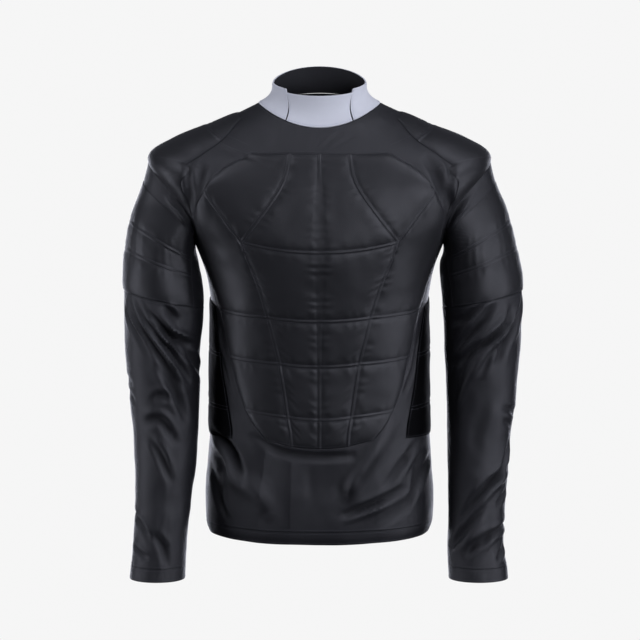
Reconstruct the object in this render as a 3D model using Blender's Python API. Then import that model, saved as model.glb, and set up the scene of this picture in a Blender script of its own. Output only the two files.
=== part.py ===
"""Long-sleeved goalie protective vest, filled out as it is worn, with nothing inside it.

Metres, +Z up. The front faces -Y and the wearer's left is +X. The origin is the middle of the
neck seam, level with its two shoulder points, where the wearer's shoulders carry the vest.

The cloth is cut into panels. Every torso panel is a stretch of one grid that is laid over the
torso form, so that neighbours share their seam points. The sleeves start from the torso's own
armhole points, and each pad that lies on a panel is made from that panel's points, moved out.
"""

import math
from collections import namedtuple

import bmesh
import bpy
from mathutils import Vector

COLLECTION = "goalie_protective_vest"

# Thicknesses of cloth and foam. A pad has its thickness on a quilted line and how much it rises
# between them, and FULLNESS below 1 keeps it plump close to its lines.
FABRIC = 0.0015
COLLAR_FABRIC = 0.0024
LINING = 0.0010
CHEST_PAD = (0.0022, 0.0050)
LIMB_PAD = (0.0012, 0.0038)
FULLNESS = 0.5

# Gaps: half of the one at each seam, the extra one at an armhole, the one under a pad or lining,
# and how far a pad or lining stops short of the lines it is drawn between
HALF_SEAM = 0.00015
ARMHOLE_GAP = 0.0007
UNDER_PAD = 0.0005
PAD_MARGIN = 0.001

# Torso form: one row for each ring, from the neck down. Its two sides are at z_side, and the
# middle of its front and of its back at z_front and z_back. Squareness 2 is an ellipse.
Ring = namedtuple("Ring", "name z_side z_front z_back half_width y_side y_front y_back square")
TORSO_RINGS = (
    Ring("neck seam", 0.000, -0.034, 0.012, 0.094, 0.004, -0.080, 0.066, 2.0),
    Ring("shoulder", -0.030, -0.066, -0.028, 0.156, 0.008, -0.099, 0.094, 2.2),
    Ring("outer shoulder", -0.0575, -0.098, -0.0625, 0.224, 0.010, -0.113, 0.110, 2.5),
    Ring("shoulder tip", -0.089, -0.128, -0.104, 0.263, 0.012, -0.124, 0.120, 2.9),
    Ring("mid armhole", -0.150, -0.176, -0.160, 0.228, 0.014, -0.133, 0.124, 2.9),
    Ring("armpit", -0.214, -0.226, -0.218, 0.192, 0.018, -0.136, 0.122, 2.6),
    Ring("ribs", -0.300, -0.304, -0.300, 0.1685, 0.018, -0.128, 0.112, 2.5),
    Ring("waist", -0.400, -0.400, -0.400, 0.1682, 0.012, -0.118, 0.100, 2.4),
    Ring("belly", -0.500, -0.500, -0.500, 0.1695, 0.004, -0.114, 0.100, 2.4),
    Ring("hip", -0.590, -0.590, -0.590, 0.177, 0.002, -0.114, 0.108, 2.4),
    Ring("hem seam", -0.645, -0.649, -0.645, 0.176, 0.002, -0.112, 0.108, 2.4),
    Ring("hem edge", -0.664, -0.6695, -0.664, 0.171, 0.002, -0.108, 0.104, 2.4),
)
TIP_RING, ARMPIT_RING, LAST_RING = 3.0, 5.0, 11.0

# Steps over which a surface's slope is taken, in degrees and in rings, and how often a search
# halves its range
ANGLE_STEP, RING_STEP = 0.5, 0.04
HALVINGS = 30

# Points nearer than this are one point. A corner's edge is moved along it by no more than twice the
# gap, and an edge of a solid that turns more than SHARP_EDGE degrees is shaded as a sharp one.
ONE_POINT = 0.0001
LEAST_CORNER = 0.5
SHARP_EDGE = 50.0

# Armhole: how far, in degrees round the torso, its front and back edges scoop in from the side.
SCOOP_FRONT, SCOOP_BACK, SCOOP_SHAPE = 32.0, 28.0, 0.5

# Sewn and quilted lines across the front, from the neck down. Each gives where it crosses the
# centre line, the slanting quilted channel and the chest pad's edge, then how far from there to
# the side the shoulder and rib pads begin, and the ring that the line reaches at the side. A
# height of None stays on that ring. steps is the number of grid rows down to the next line.
Line = namedtuple(
    "Line", "name centre_z channel_x channel_z edge_x edge_z trim side_ring back_trim steps"
)
LINES = (
    Line("neck seam", None, 0.036, None, 0.070, None, 0.52, 0.00, 112.0, 2),
    Line("cap end", -0.047, 0.042, -0.047, 0.090, -0.040, 0.50, 0.50, 106.0, 2),
    Line("pad top", -0.072, 0.045, -0.072, 0.106, -0.071, 0.36, 1.20, 128.0, 3),
    Line("shoulder tip", -0.122, 0.058, -0.122, 0.147, -0.096, 0.28, 3.00, 122.0, 4),
    Line("first quilt", -0.218, 0.117, -0.2025, 0.1735, -0.1265, 0.40, 3.36, 126.0, 3),
    Line("under arm", -0.247, 0.103, -0.242, 0.1870, -0.165, 0.50, 4.20, 124.0, 3),
    Line("armpit", -0.277, 0.091, -0.272, 0.1815, -0.2150, 0.42, 5.00, 118.0, 2),
    Line("second quilt", -0.323, 0.077, -0.318, 0.1525, -0.312, 0.30, 6.00, 122.0, 3),
    Line("third quilt", -0.393, 0.060, -0.389, 0.1370, -0.383, 0.24, 6.80, 124.0, 3),
    Line("fourth quilt", -0.475, 0.048, -0.471, 0.1120, -0.4635, 0.27, 7.60, 126.0, 3),
    Line("pad bottom", -0.5195, 0.043, -0.5165, 0.0805, -0.5070, 0.355, 8.12, 127.0, 5),
    Line("hem seam", None, 0.045, None, 0.095, None, 0.40, 10.00, 127.0, 1),
    Line("hem edge", None, 0.045, None, 0.095, None, 0.40, 11.00, 127.0, 0),
)
(NECK, CAP_END, PAD_TOP, TIP, QUILT_1, UNDER_ARM, ARMPIT, QUILT_2, QUILT_3, QUILT_4, PAD_BOTTOM,
 HEM_SEAM, HEM_EDGE) = range(len(LINES))
QUILT_LINES = (PAD_TOP, QUILT_1, QUILT_2, QUILT_3, QUILT_4, PAD_BOTTOM)
CORNERS = {"channel_x": QUILT_1, "edge_x": PAD_BOTTOM}

# Grid columns, counted from the front centre line round to the back one, on each half. An
# armhole opens between SIDE and BACK_SIDE. CENTRE_DIP rounds each line where it meets its mirror.
CENTRE, CHANNEL, EDGE, TRIM, SIDE, BACK_SIDE, BACK_TRIM, BACK = range(8)
COLUMN_STEPS = (3, 3, 2, 2, 1, 2, 6)
CENTRE_DIP = 1.6

# Sleeve form: one row for each section. Lean is how far the outer side of its ring is raised, in
# degrees, and x and half are the section's centre and half width on each of the wearer's sides.
Section = namedtuple(
    "Section", "name height lean half_depth forward right_x right_half left_x left_half"
)
SLEEVE_SECTIONS = (
    Section("armhole", -0.150, 54.0, 0.084, 0.004, 0.2255, 0.0740, 0.2255, 0.0740),
    Section("cap", -0.186, 42.0, 0.078, -0.004, 0.2325, 0.0648, 0.2325, 0.0648),
    Section("deltoid", -0.224, 26.0, 0.071, -0.012, 0.2378, 0.0605, 0.2395, 0.0621),
    Section("upper arm", -0.298, 12.0, 0.067, -0.024, 0.2392, 0.0628, 0.2505, 0.0622),
    Section("above elbow", -0.370, 4.0, 0.062, -0.028, 0.2415, 0.0580, 0.2510, 0.0590),
    Section("elbow", -0.450, 1.0, 0.058, -0.031, 0.2392, 0.0540, 0.2500, 0.0535),
    Section("forearm", -0.515, 0.0, 0.053, -0.038, 0.2368, 0.0500, 0.2458, 0.0485),
    Section("mid forearm", -0.568, 0.0, 0.049, -0.046, 0.2386, 0.0460, 0.2443, 0.0465),
    Section("low forearm", -0.622, 0.0, 0.045, -0.055, 0.2418, 0.0428, 0.2426, 0.0437),
    Section("wrist", -0.671, 0.0, 0.042, -0.062, 0.2462, 0.0412, 0.2412, 0.0432),
    Section("cuff seam", -0.707, 0.0, 0.041, -0.067, 0.2482, 0.0422, 0.2436, 0.0448),
    Section("cuff edge", -0.7275, 0.0, 0.041, -0.070, 0.2493, 0.0428, 0.2449, 0.0455),
)
ELBOW_SEAM, CUFF_SEAM, CUFF_EDGE = 3.0, 10.0, 11.0
FOREARM_STEPS = 16

# How far down a sleeve its armhole's shape fades out, and how far it takes the torso's slope
ARMHOLE_FADE, SLOPE_FADE = 2.6, 1.0

# Arm pad: its quilted lines down the sleeve, the degrees round it where it ends in front and
# behind, how soon it is full from those ends, and the two rows between its lines
ARM_PAD_LINES = (0.6, 1.75, 2.3, 3.0)
ARM_PAD_FRONT, ARM_PAD_BACK, ARM_PAD_ROUND = 142.0, -128.0, 40.0
ARM_PAD_ROWS = (0.2, 0.8)

# Collar: its slits, in degrees from the front at its foot and top and to each side of their
# middle, its reach at the top, its heights, how soon it stands up and how far it is above the seam
SLIT_FOOT, SLIT_TOP, SLIT_GAP = 33.0, 45.0, 0.7
COLLAR_HALF_WIDTH, COLLAR_FRONT, COLLAR_BACK = 0.0725, -0.064, 0.060
COLLAR_TOPS = {"front": 0.0225, "slit": 0.029, "side": 0.036, "back": 0.0565}
COLLAR_FLARE, COLLAR_LIFT = 2.4, 0.0015
COLLAR_ROWS = 3
COLLAR_COLUMNS = {"front": 8, "back": 20}

# Largest folds, as troughs in the cloth: where each starts and ends, seen from the front, in
# metres from the centre line and below the neck, then its half width and depth. Its ends are
# as deep as sin(pi * FOLD_END) of that, and it fades in over FOLD_EASE of a line or section.
Fold = namedtuple("Fold", "start end half_width depth")
FOLD_END, FOLD_EASE = 0.08, 0.4
FRONT_FOLDS = (
    Fold((-0.158, -0.512), (-0.116, -0.585), 0.017, 0.0080),
    Fold((-0.166, -0.560), (-0.142, -0.625), 0.016, 0.0060),
    Fold((0.146, -0.512), (0.104, -0.575), 0.017, 0.0075),
    Fold((0.158, -0.545), (0.138, -0.610), 0.016, 0.0055),
    Fold((0.118, -0.592), (0.040, -0.620), 0.015, 0.0045),
)
BACK_FOLDS = (
    Fold((-0.120, -0.500), (-0.050, -0.590), 0.018, 0.0050),
    Fold((0.125, -0.505), (0.062, -0.600), 0.018, 0.0050),
)
RIGHT_SLEEVE_FOLDS = (
    Fold((-0.296, -0.305), (-0.228, -0.430), 0.014, 0.0055),
    Fold((-0.280, -0.300), (-0.205, -0.410), 0.014, 0.0050),
    Fold((-0.250, -0.320), (-0.195, -0.375), 0.014, 0.0045),
    Fold((-0.230, -0.440), (-0.205, -0.500), 0.014, 0.0040),
)
LEFT_SLEEVE_FOLDS = (
    Fold((0.290, -0.315), (0.222, -0.440), 0.015, 0.0060),
    Fold((0.262, -0.310), (0.205, -0.400), 0.014, 0.0050),
    Fold((0.300, -0.330), (0.238, -0.480), 0.014, 0.0045),
    Fold((0.268, -0.570), (0.215, -0.640), 0.014, 0.0035),
)

Finish = namedtuple("Finish", "name colour roughness")
LYCRA = Finish("black_stretch_knit", (0.022, 0.023, 0.028), 0.42)
QUILTED = Finish("black_quilted_knit", (0.020, 0.021, 0.024), 0.62)
RIB_MESH = Finish("black_rib_mesh", (0.006, 0.006, 0.008), 0.75)
GREY_KNIT = Finish("grey_collar_knit", (0.36, 0.38, 0.46), 0.80)
BLACK_LINING = Finish("black_lining", (0.008, 0.008, 0.010), 0.85)


def smooth_between(values, position):
    """A smooth curve through evenly numbered values."""
    i = min(max(math.floor(position), 0), len(values) - 2)
    f = position - i
    here, after = values[i], values[i + 1]
    leaving = (after - values[i - 1]) / 2 if i > 0 else after - here
    arriving = (values[i + 2] - here) / 2 if i + 2 < len(values) else after - here
    curve = (2 * f**3 - 3 * f**2 + 1) * here + (3 * f**2 - 2 * f**3) * after
    return curve + (f**3 - 2 * f**2 + f) * leaving + (f**3 - f**2) * arriving


def smooth_step(share):
    share = min(max(share, 0.0), 1.0)
    return share * share * (3 - 2 * share)


def ring_at(ring):
    return Ring("", *(smooth_between(column, ring) for column in list(zip(*TORSO_RINGS))[1:]))


def signed_power(value, exponent):
    return math.copysign(abs(value) ** exponent, value)


def torso_point(angle, ring):
    """The torso form's point at an angle from the front centre, in degrees, on a ring."""
    r = ring_at(ring)
    across, along = math.sin(math.radians(angle)), math.cos(math.radians(angle))
    depth = r.y_side - r.y_front if along > 0 else r.y_back - r.y_side
    middle_z = r.z_front if along > 0 else r.z_back
    return Vector((
        r.half_width * signed_power(across, 2 / r.square),
        r.y_side - depth * signed_power(along, 2 / r.square),
        r.z_side + (middle_z - r.z_side) * along**2,
    ))


def surface_normal(point_at, angle, ring):
    """The outward normal of a surface whose angle runs anticlockwise from above and ring down."""
    across = point_at(angle + ANGLE_STEP, ring) - point_at(angle - ANGLE_STEP, ring)
    down = point_at(angle, ring + RING_STEP) - point_at(angle, ring - RING_STEP)
    return down.cross(across).normalized()


def torso_normal(angle, ring):
    ring = min(max(ring, RING_STEP), LAST_RING - RING_STEP)
    return surface_normal(torso_point, angle, ring)


def angle_at(x, ring):
    r = ring_at(ring)
    share = min(abs(x) / r.half_width, 1.0)
    return math.copysign(math.degrees(math.asin(share ** (r.square / 2))), x)


def front_place(x, z):
    """The angle and ring of the front's point at x and z."""
    low, high = 0.0, LAST_RING
    for _ in range(HALVINGS):
        middle = (low + high) / 2
        if torso_point(angle_at(x, middle), middle).z > z:
            low = middle
        else:
            high = middle
    return angle_at(x, low), low


def armhole_angle(ring, scoop):
    share = (ring - TIP_RING) / (ARMPIT_RING - TIP_RING)
    if not 0.0 < share < 1.0:
        return 90.0
    return 90.0 - scoop * math.sin(math.pi * share) ** SCOOP_SHAPE


def column_places(line_position):
    """The angle and ring of each grid column on the wearer's left, at a place among the lines."""
    side_ring = smooth_between([line.side_ring for line in LINES], line_position)
    side_ring = min(max(side_ring, 0.0), LAST_RING)
    front_side = armhole_angle(side_ring, SCOOP_FRONT)
    back_side = 180.0 - armhole_angle(side_ring, SCOOP_BACK)

    def place(x_field, z_field):
        xs, zs = [], []
        for line in LINES:
            x, z = getattr(line, x_field) if x_field else 0.0, getattr(line, z_field)
            if z is None:
                z = torso_point(angle_at(x, line.side_ring), line.side_ring).z
            xs.append(x)
            zs.append(z)
        corner = CORNERS.get(x_field, 0)
        first, last = (0, corner + 1) if line_position < corner else (corner, len(LINES))
        at = line_position - first
        return front_place(
            smooth_between(xs[first:last], at), smooth_between(zs[first:last], at)
        )

    edge_angle, edge_ring = place("edge_x", "edge_z")
    trim = smooth_between([line.trim for line in LINES], line_position)
    back_trim = smooth_between([line.back_trim for line in LINES], line_position)
    return [
        place(None, "centre_z"),
        place("channel_x", "channel_z"),
        (edge_angle, edge_ring),
        (edge_angle + (front_side - edge_angle) * trim, edge_ring + (side_ring - edge_ring) * trim),
        (front_side, side_ring),
        (back_side, side_ring),
        (max(back_trim, back_side + 2.0), side_ring),
        (180.0, side_ring),
    ]


def spread(steps):
    """Shares from 0 to 1 that lie closer together at both ends."""
    return [0.5 - 0.5 * math.cos(math.pi * k / steps) for k in range(steps + 1)]


def line_positions():
    positions = [0.0]
    for number, line in enumerate(LINES[:-1]):
        positions += [number + share for share in spread(line.steps)[1:]]
    return positions


def column_positions():
    """From the back centre line, over the wearer's right side and front, to the back again."""
    half = [0.0]
    for number, steps in enumerate(COLUMN_STEPS):
        half += [number + share for share in spread(steps)[1:]]
    return [-u for u in reversed(half[1:])] + half


def place_in_row(places, column):
    """The angle and ring at a column position, between the places of one row."""
    number = min(int(abs(column)), BACK - 1)
    share = abs(column) - number
    (angle_a, ring_a), (angle_b, ring_b) = places[number], places[number + 1]
    bend = share**CENTRE_DIP if number == CENTRE else share
    angle = angle_a + (angle_b - angle_a) * share
    return math.copysign(angle, column), ring_a + (ring_b - ring_a) * bend


def fold_depth(point, folds):
    """How deep the troughs of these folds are at a point, seen along Y."""
    deepest = 0.0
    for fold in folds:
        start, end = Vector(fold.start), Vector(fold.end)
        run = end - start
        here = Vector((point.x, point.z)) - start
        share = min(max(here.dot(run) / run.length_squared, 0.0), 1.0)
        aside = (here - run * share).length / fold.half_width
        fade = math.sin(math.pi * (FOLD_END + (1 - 2 * FOLD_END) * share))
        deepest = max(deepest, fold.depth * fade * math.exp(-aside**2))
    return deepest


def torso_grid():
    """Points, outward normals and column positions of the whole torso grid."""
    columns = column_positions()
    points, normals = [], []
    for position in line_positions():
        places = column_places(position)
        row = [place_in_row(places, column) for column in columns]
        row_normals = [torso_normal(*place) for place in row]
        row_points = []
        for place, normal in zip(row, row_normals):
            point = torso_point(*place)
            folds = FRONT_FOLDS if abs(place[0]) < 90 else BACK_FOLDS
            ease = smooth_step((position - PAD_BOTTOM) / FOLD_EASE) * smooth_step(HEM_SEAM - position)
            row_points.append(point - normal * fold_depth(point, folds) * ease)
        points.append(row_points)
        normals.append(row_normals)
    return points, normals, columns


def section_at(position, side):
    word = "left" if side > 0 else "right"
    names = ("height", "lean", "half_depth", "forward", word + "_x", word + "_half")
    return [
        smooth_between([getattr(section, name) for section in SLEEVE_SECTIONS], position)
        for name in names
    ]


def armhole_place(around, side):
    """The torso's angle and ring at a place round an armhole: 0 is its tip and 90 its front."""
    middle, half = (TIP_RING + ARMPIT_RING) / 2, (ARMPIT_RING - TIP_RING) / 2
    ring = middle - half * math.cos(math.radians(around))
    if math.sin(math.radians(around)) > 0:
        return side * armhole_angle(ring, SCOOP_FRONT), ring
    return side * (180.0 - armhole_angle(ring, SCOOP_BACK)), ring


def sleeve_section_point(around, position, side):
    height, lean, half_depth, forward, centre, half = section_at(position, side)
    across, along = math.cos(math.radians(around)), math.sin(math.radians(around))
    out = half * across * math.cos(math.radians(lean))
    up = half * across * math.sin(math.radians(lean))
    return Vector((side * (centre + out), forward - half_depth * along, height + up))


def sleeve_point(around, position, side):
    """The sleeve's point at a place round it, which starts on the torso's own armhole."""
    point = sleeve_section_point(around, position, side)
    fade = smooth_step(1.0 - position / ARMHOLE_FADE)
    start = torso_point(*armhole_place(around, side))
    return point + (start - sleeve_section_point(around, 0.0, side)) * fade


def sleeve_normal(around, position, side):
    position = max(position, RING_STEP)
    normal = -side * surface_normal(lambda a, p: sleeve_point(a, p, side), around, position)
    turn = smooth_step(1.0 - position / SLOPE_FADE) * (1 + math.cos(math.radians(around))) / 2
    return normal.lerp(torso_normal(*armhole_place(around, side)), turn).normalized()


def sleeve_arounds():
    """Places round a sleeve, from its armpit behind to its armpit in front, that meet the torso
    grid's rows at the armhole."""
    middle, half = (TIP_RING + ARMPIT_RING) / 2, (ARMPIT_RING - TIP_RING) / 2
    front = []
    for position in line_positions():
        if TIP <= position <= ARMPIT:
            ring = smooth_between([line.side_ring for line in LINES], position)
            front.append(math.degrees(math.acos(min(max((middle - ring) / half, -1.0), 1.0))))
    return [-around for around in reversed(front[1:])] + front


def sleeve_positions():
    positions = [0.0, ARM_PAD_LINES[0] / 2]
    for start, end in zip(ARM_PAD_LINES, ARM_PAD_LINES[1:]):
        positions += [start] + [start + (end - start) * share for share in ARM_PAD_ROWS]
    forearm = CUFF_SEAM - ELBOW_SEAM
    positions += [ELBOW_SEAM + forearm * step / FOREARM_STEPS for step in range(FOREARM_STEPS + 1)]
    return positions + [CUFF_EDGE]


def sleeve_grid(side):
    folds = LEFT_SLEEVE_FOLDS if side > 0 else RIGHT_SLEEVE_FOLDS
    points, normals = [], []
    for position in sleeve_positions():
        ease = smooth_step((position - ELBOW_SEAM) / FOLD_EASE) * smooth_step(CUFF_SEAM - position)
        row_points, row_normals = [], []
        for around in sleeve_arounds():
            point = sleeve_point(around, position, side)
            normal = sleeve_normal(around, position, side)
            depth = fold_depth(point, folds) * ease if around > 0 else 0.0
            row_points.append(point - normal * depth)
            row_normals.append(normal)
        points.append(row_points)
        normals.append(row_normals)
    for start, after in zip(points[0], points[1]):
        start += (after - start).normalized() * ARMHOLE_GAP
    return points, normals


def collar_point(angle, share, top_z):
    """The collar's point between the neck seam and its top, where it leans in."""
    foot = torso_point(angle, 0.0) + Vector((0.0, 0.0, COLLAR_LIFT))
    across, along = math.sin(math.radians(angle)), math.cos(math.radians(angle))
    depth = -COLLAR_FRONT if along > 0 else COLLAR_BACK
    top = Vector((COLLAR_HALF_WIDTH * across, -depth * along, top_z))
    lean = 1 - (1 - share) ** COLLAR_FLARE
    return Vector((
        foot.x + (top.x - foot.x) * lean,
        foot.y + (top.y - foot.y) * lean,
        foot.z + (top.z - foot.z) * share,
    ))


def collar_top(angle, part):
    if part == "front":
        return COLLAR_TOPS["front"]
    turned = min(abs(angle), 360.0 - abs(angle))
    if turned < 90.0:
        share = (turned - SLIT_TOP) / (90.0 - SLIT_TOP)
        return COLLAR_TOPS["slit"] + (COLLAR_TOPS["side"] - COLLAR_TOPS["slit"]) * share
    rise = smooth_step((turned - 90.0) / 90.0)
    return COLLAR_TOPS["side"] + (COLLAR_TOPS["back"] - COLLAR_TOPS["side"]) * rise


def collar_grid(part):
    columns = COLLAR_COLUMNS[part]
    points, normals = [], []
    for row in range(COLLAR_ROWS + 1):
        share = row / COLLAR_ROWS
        slit = SLIT_FOOT + (SLIT_TOP - SLIT_FOOT) * share
        slit += SLIT_GAP if part == "back" else -SLIT_GAP
        start, turn = (-slit, 2 * slit) if part == "front" else (slit, 360.0 - 2 * slit)
        angles = [start + turn * column / columns for column in range(columns + 1)]

        def point_at(angle, height):
            return collar_point(angle, height, collar_top(angle, part))

        points.append([point_at(angle, share) for angle in angles])
        share = min(max(share, RING_STEP), 1 - RING_STEP)
        normals.append([-surface_normal(point_at, angle, share) for angle in angles])
    return points, normals


def quilt_share(value, lines):
    """0 on a quilted line and 1 midway between two of them."""
    for start, end in zip(lines, lines[1:]):
        if start <= value <= end:
            return math.sin(math.pi * (value - start) / (end - start))
    return 0.0


def material_of(finish):
    material = bpy.data.materials.get(finish.name)
    if material is None:
        material = bpy.data.materials.new(finish.name)
        material.use_nodes = True
        shader = material.node_tree.nodes["Principled BSDF"]
        shader.inputs["Base Color"].default_value = (*finish.colour, 1.0)
        shader.inputs["Roughness"].default_value = finish.roughness
        shader.inputs["Metallic"].default_value = 0.0
    return material


def draw_in_edges(bm, distance):
    """Moves a panel's open edges in along its surface, which leaves a gap at each seam."""
    moves = {}
    for edge in bm.edges:
        if len(edge.link_faces) != 1:
            continue
        a, b = edge.verts
        along = (b.co - a.co).normalized()
        inward = edge.link_faces[0].calc_center_median() - (a.co + b.co) / 2
        inward = (inward - along * inward.dot(along)).normalized()
        for vert in edge.verts:
            moves.setdefault(vert, []).append(inward)
    for vert, inwards in moves.items():
        total = sum(inwards, Vector()).normalized()
        reach = max(total.dot(inwards[0]), LEAST_CORNER)
        vert.co += total * (distance / reach)


def wall(name, finish, points, normals, keep, inner, outer, gap=HALF_SEAM):
    """One closed piece of cloth or foam over the cells of a grid that keep(row, column) names.

    inner and outer are its two surfaces' heights above the grid's points, in metres, and outer
    may be a function of the row and column of a point.
    """
    rows, columns = len(points) - 1, len(points[0]) - 1
    bm = bmesh.new()
    bmesh.ops.create_grid(bm, x_segments=columns, y_segments=rows, size=1.0)
    outward = bm.verts.layers.float_vector.new("outward")
    height = bm.verts.layers.float.new("height")

    def grid_index(co):
        return round((co.y + 1) / 2 * rows, 3), round((co.x + 1) / 2 * columns, 3)

    spare = []
    for face in bm.faces:
        row, column = grid_index(face.calc_center_median())
        if not keep(int(row), int(column)):
            spare.append(face)
    for vert in bm.verts:
        row, column = (int(round(value)) for value in grid_index(vert.co))
        vert[outward] = normals[row][column]
        vert[height] = outer(row, column) if callable(outer) else outer
        vert.co = points[row][column]
    bmesh.ops.delete(bm, geom=spare, context="FACES")
    bmesh.ops.remove_doubles(bm, verts=bm.verts, dist=ONE_POINT)
    draw_in_edges(bm, gap)
    raised = bmesh.ops.extrude_face_region(bm, geom=bm.faces[:], use_keep_orig=True)
    lifted = {item for item in raised["geom"] if isinstance(item, bmesh.types.BMVert)}
    for vert in bm.verts:
        vert.co += vert[outward] * (vert[height] if vert in lifted else inner)
    bmesh.ops.recalc_face_normals(bm, faces=bm.faces)

    mesh = bpy.data.meshes.new(name)
    bm.to_mesh(mesh)
    bm.free()
    mesh.shade_smooth()
    mesh.set_sharp_from_angle(angle=math.radians(SHARP_EDGE))
    mesh.materials.append(material_of(finish))
    piece = bpy.data.objects.new(name, mesh)
    bpy.data.collections[COLLECTION].objects.link(piece)
    return piece


def make_torso():
    points, normals, columns = torso_grid()
    lines = line_positions()

    def cells(*regions):
        """Cells inside any region of (first line, last line, first column, last column)."""
        def keep(row, column):
            line = (lines[row] + lines[row + 1]) / 2
            across = abs(columns[column] + columns[column + 1]) / 2
            return any(a < line < b and c < across < d for a, b, c, d in regions)
        return keep

    def quilted(row, column):
        base, lift = CHEST_PAD
        down = quilt_share(lines[row], QUILT_LINES)
        across = quilt_share(abs(columns[column]), (CENTRE, CHANNEL, EDGE))
        return base - FABRIC + lift * (down * across) ** FULLNESS

    def padded(line_list, column_list):
        base, lift = LIMB_PAD

        def height(row, column):
            down = quilt_share(lines[row], line_list)
            across = quilt_share(abs(columns[column]), column_list)
            return UNDER_PAD + base + lift * (down * across) ** FULLNESS
        return height

    wall("neck_yoke", LYCRA, points, normals,
         cells((NECK, PAD_TOP, CENTRE, SIDE), (PAD_TOP, ARMPIT, EDGE, SIDE)), -FABRIC, 0.0)
    wall("chest_pad", QUILTED, points, normals,
         cells((PAD_TOP, PAD_BOTTOM, CENTRE, EDGE)), -FABRIC, quilted)
    wall("front_panel", LYCRA, points, normals,
         cells((ARMPIT, HEM_SEAM, EDGE, SIDE), (PAD_BOTTOM, HEM_SEAM, CENTRE, EDGE)),
         -FABRIC, 0.0)
    wall("back_panel", LYCRA, points, normals, cells((NECK, HEM_SEAM, BACK_SIDE, BACK)), -FABRIC, 0.0)
    wall("hem_band", LYCRA, points, normals, cells((HEM_SEAM, HEM_EDGE, CENTRE, BACK)),
         -2 * FABRIC, 0.0)

    for word, sign in (("left", 1), ("right", -1)):
        def one_side(keep):
            return lambda row, column: columns[column] * sign > 0 and keep(row, column)

        wall(f"shoulder_pad_{word}", QUILTED, points, normals,
             one_side(cells((CAP_END, TIP, TRIM, BACK_TRIM))), UNDER_PAD,
             padded((CAP_END, PAD_TOP, TIP), (TRIM, BACK_TRIM)), gap=PAD_MARGIN)
        wall(f"rib_pad_{word}", RIB_MESH, points, normals,
             one_side(cells((QUILT_2, PAD_BOTTOM, TRIM, BACK_TRIM))), UNDER_PAD,
             padded((QUILT_2, QUILT_3, QUILT_4, PAD_BOTTOM), (TRIM, BACK_TRIM)), gap=PAD_MARGIN)


def make_sleeve(word, side):
    points, normals = sleeve_grid(side)
    positions, arounds = sleeve_positions(), sleeve_arounds()

    def cells(start, end):
        return lambda row, column: start < (positions[row] + positions[row + 1]) / 2 < end

    def on_pad(row, column):
        around = (arounds[column] + arounds[column + 1]) / 2
        return ARM_PAD_BACK < around < ARM_PAD_FRONT and (
            cells(ARM_PAD_LINES[0], ARM_PAD_LINES[-1])(row, column)
        )

    def padded(row, column):
        base, lift = LIMB_PAD
        from_end = min(ARM_PAD_FRONT - arounds[column], arounds[column] - ARM_PAD_BACK)
        down = quilt_share(positions[row], ARM_PAD_LINES)
        full = smooth_step(from_end / ARM_PAD_ROUND)
        return UNDER_PAD + base + lift * full * down**FULLNESS

    wall(f"sleeve_upper_{word}", LYCRA, points, normals, cells(0.0, ELBOW_SEAM), -FABRIC, 0.0)
    wall(f"arm_pad_{word}", QUILTED, points, normals, on_pad, UNDER_PAD, padded, gap=PAD_MARGIN)
    wall(f"sleeve_lower_{word}", LYCRA, points, normals, cells(ELBOW_SEAM, CUFF_SEAM), -FABRIC, 0.0)
    wall(f"cuff_{word}", LYCRA, points, normals, cells(CUFF_SEAM, CUFF_EDGE), -2 * FABRIC, 0.0)


def make_collar():
    def everywhere(row, column):
        return True

    for part in ("front", "back"):
        points, normals = collar_grid(part)
        wall(f"collar_{part}", GREY_KNIT, points, normals, everywhere, -COLLAR_FABRIC, 0.0)
        if part == "back":
            inside = -COLLAR_FABRIC - UNDER_PAD
            wall("collar_lining", BLACK_LINING, points, normals, everywhere,
                 inside - LINING, inside, gap=PAD_MARGIN)


def main():
    for old in list(bpy.data.objects):
        bpy.data.objects.remove(old)
    vest = bpy.data.collections.new(COLLECTION)
    bpy.context.scene.collection.children.link(vest)
    make_torso()
    make_sleeve("left", 1)
    make_sleeve("right", -1)
    make_collar()


main()
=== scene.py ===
"""Looks of the goalie protective vest: cloth, quilting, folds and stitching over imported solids.

Metres, +Z up, the front faces -Y and the wearer's left is +X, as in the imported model. The torso and
the sleeves are two kinds of surface. Each panel is a stretch of one of them, laid out as a grid and
given a thickness, and every fold, quilted channel and seam is a height above that surface.
"""

import math
from collections import namedtuple

import bmesh
import bpy
import numpy as np
from mathutils import Matrix, Vector, noise


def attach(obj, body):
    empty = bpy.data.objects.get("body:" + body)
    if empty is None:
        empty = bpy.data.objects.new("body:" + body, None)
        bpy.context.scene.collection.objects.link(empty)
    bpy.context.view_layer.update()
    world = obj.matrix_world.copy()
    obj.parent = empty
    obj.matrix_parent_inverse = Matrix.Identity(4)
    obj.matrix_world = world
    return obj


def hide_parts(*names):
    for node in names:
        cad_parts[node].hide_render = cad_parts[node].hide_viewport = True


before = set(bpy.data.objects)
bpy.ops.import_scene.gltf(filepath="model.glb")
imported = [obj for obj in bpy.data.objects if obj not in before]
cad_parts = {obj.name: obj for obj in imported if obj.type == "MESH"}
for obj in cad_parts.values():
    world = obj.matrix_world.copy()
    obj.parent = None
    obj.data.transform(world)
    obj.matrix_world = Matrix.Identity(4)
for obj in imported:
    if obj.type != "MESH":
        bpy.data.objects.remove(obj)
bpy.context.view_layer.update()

# Thicknesses, in metres, as in the solids
FABRIC = 0.0015
COLLAR_FABRIC = 0.0024
LINING = 0.0010
UNDER_PAD = 0.0005
HALF_SEAM = 0.00008
TAPE = 0.0006
PAD_MARGIN = 0.0004

TURN = 2 * math.pi
LEAST_LENGTH = 1e-9

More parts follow.
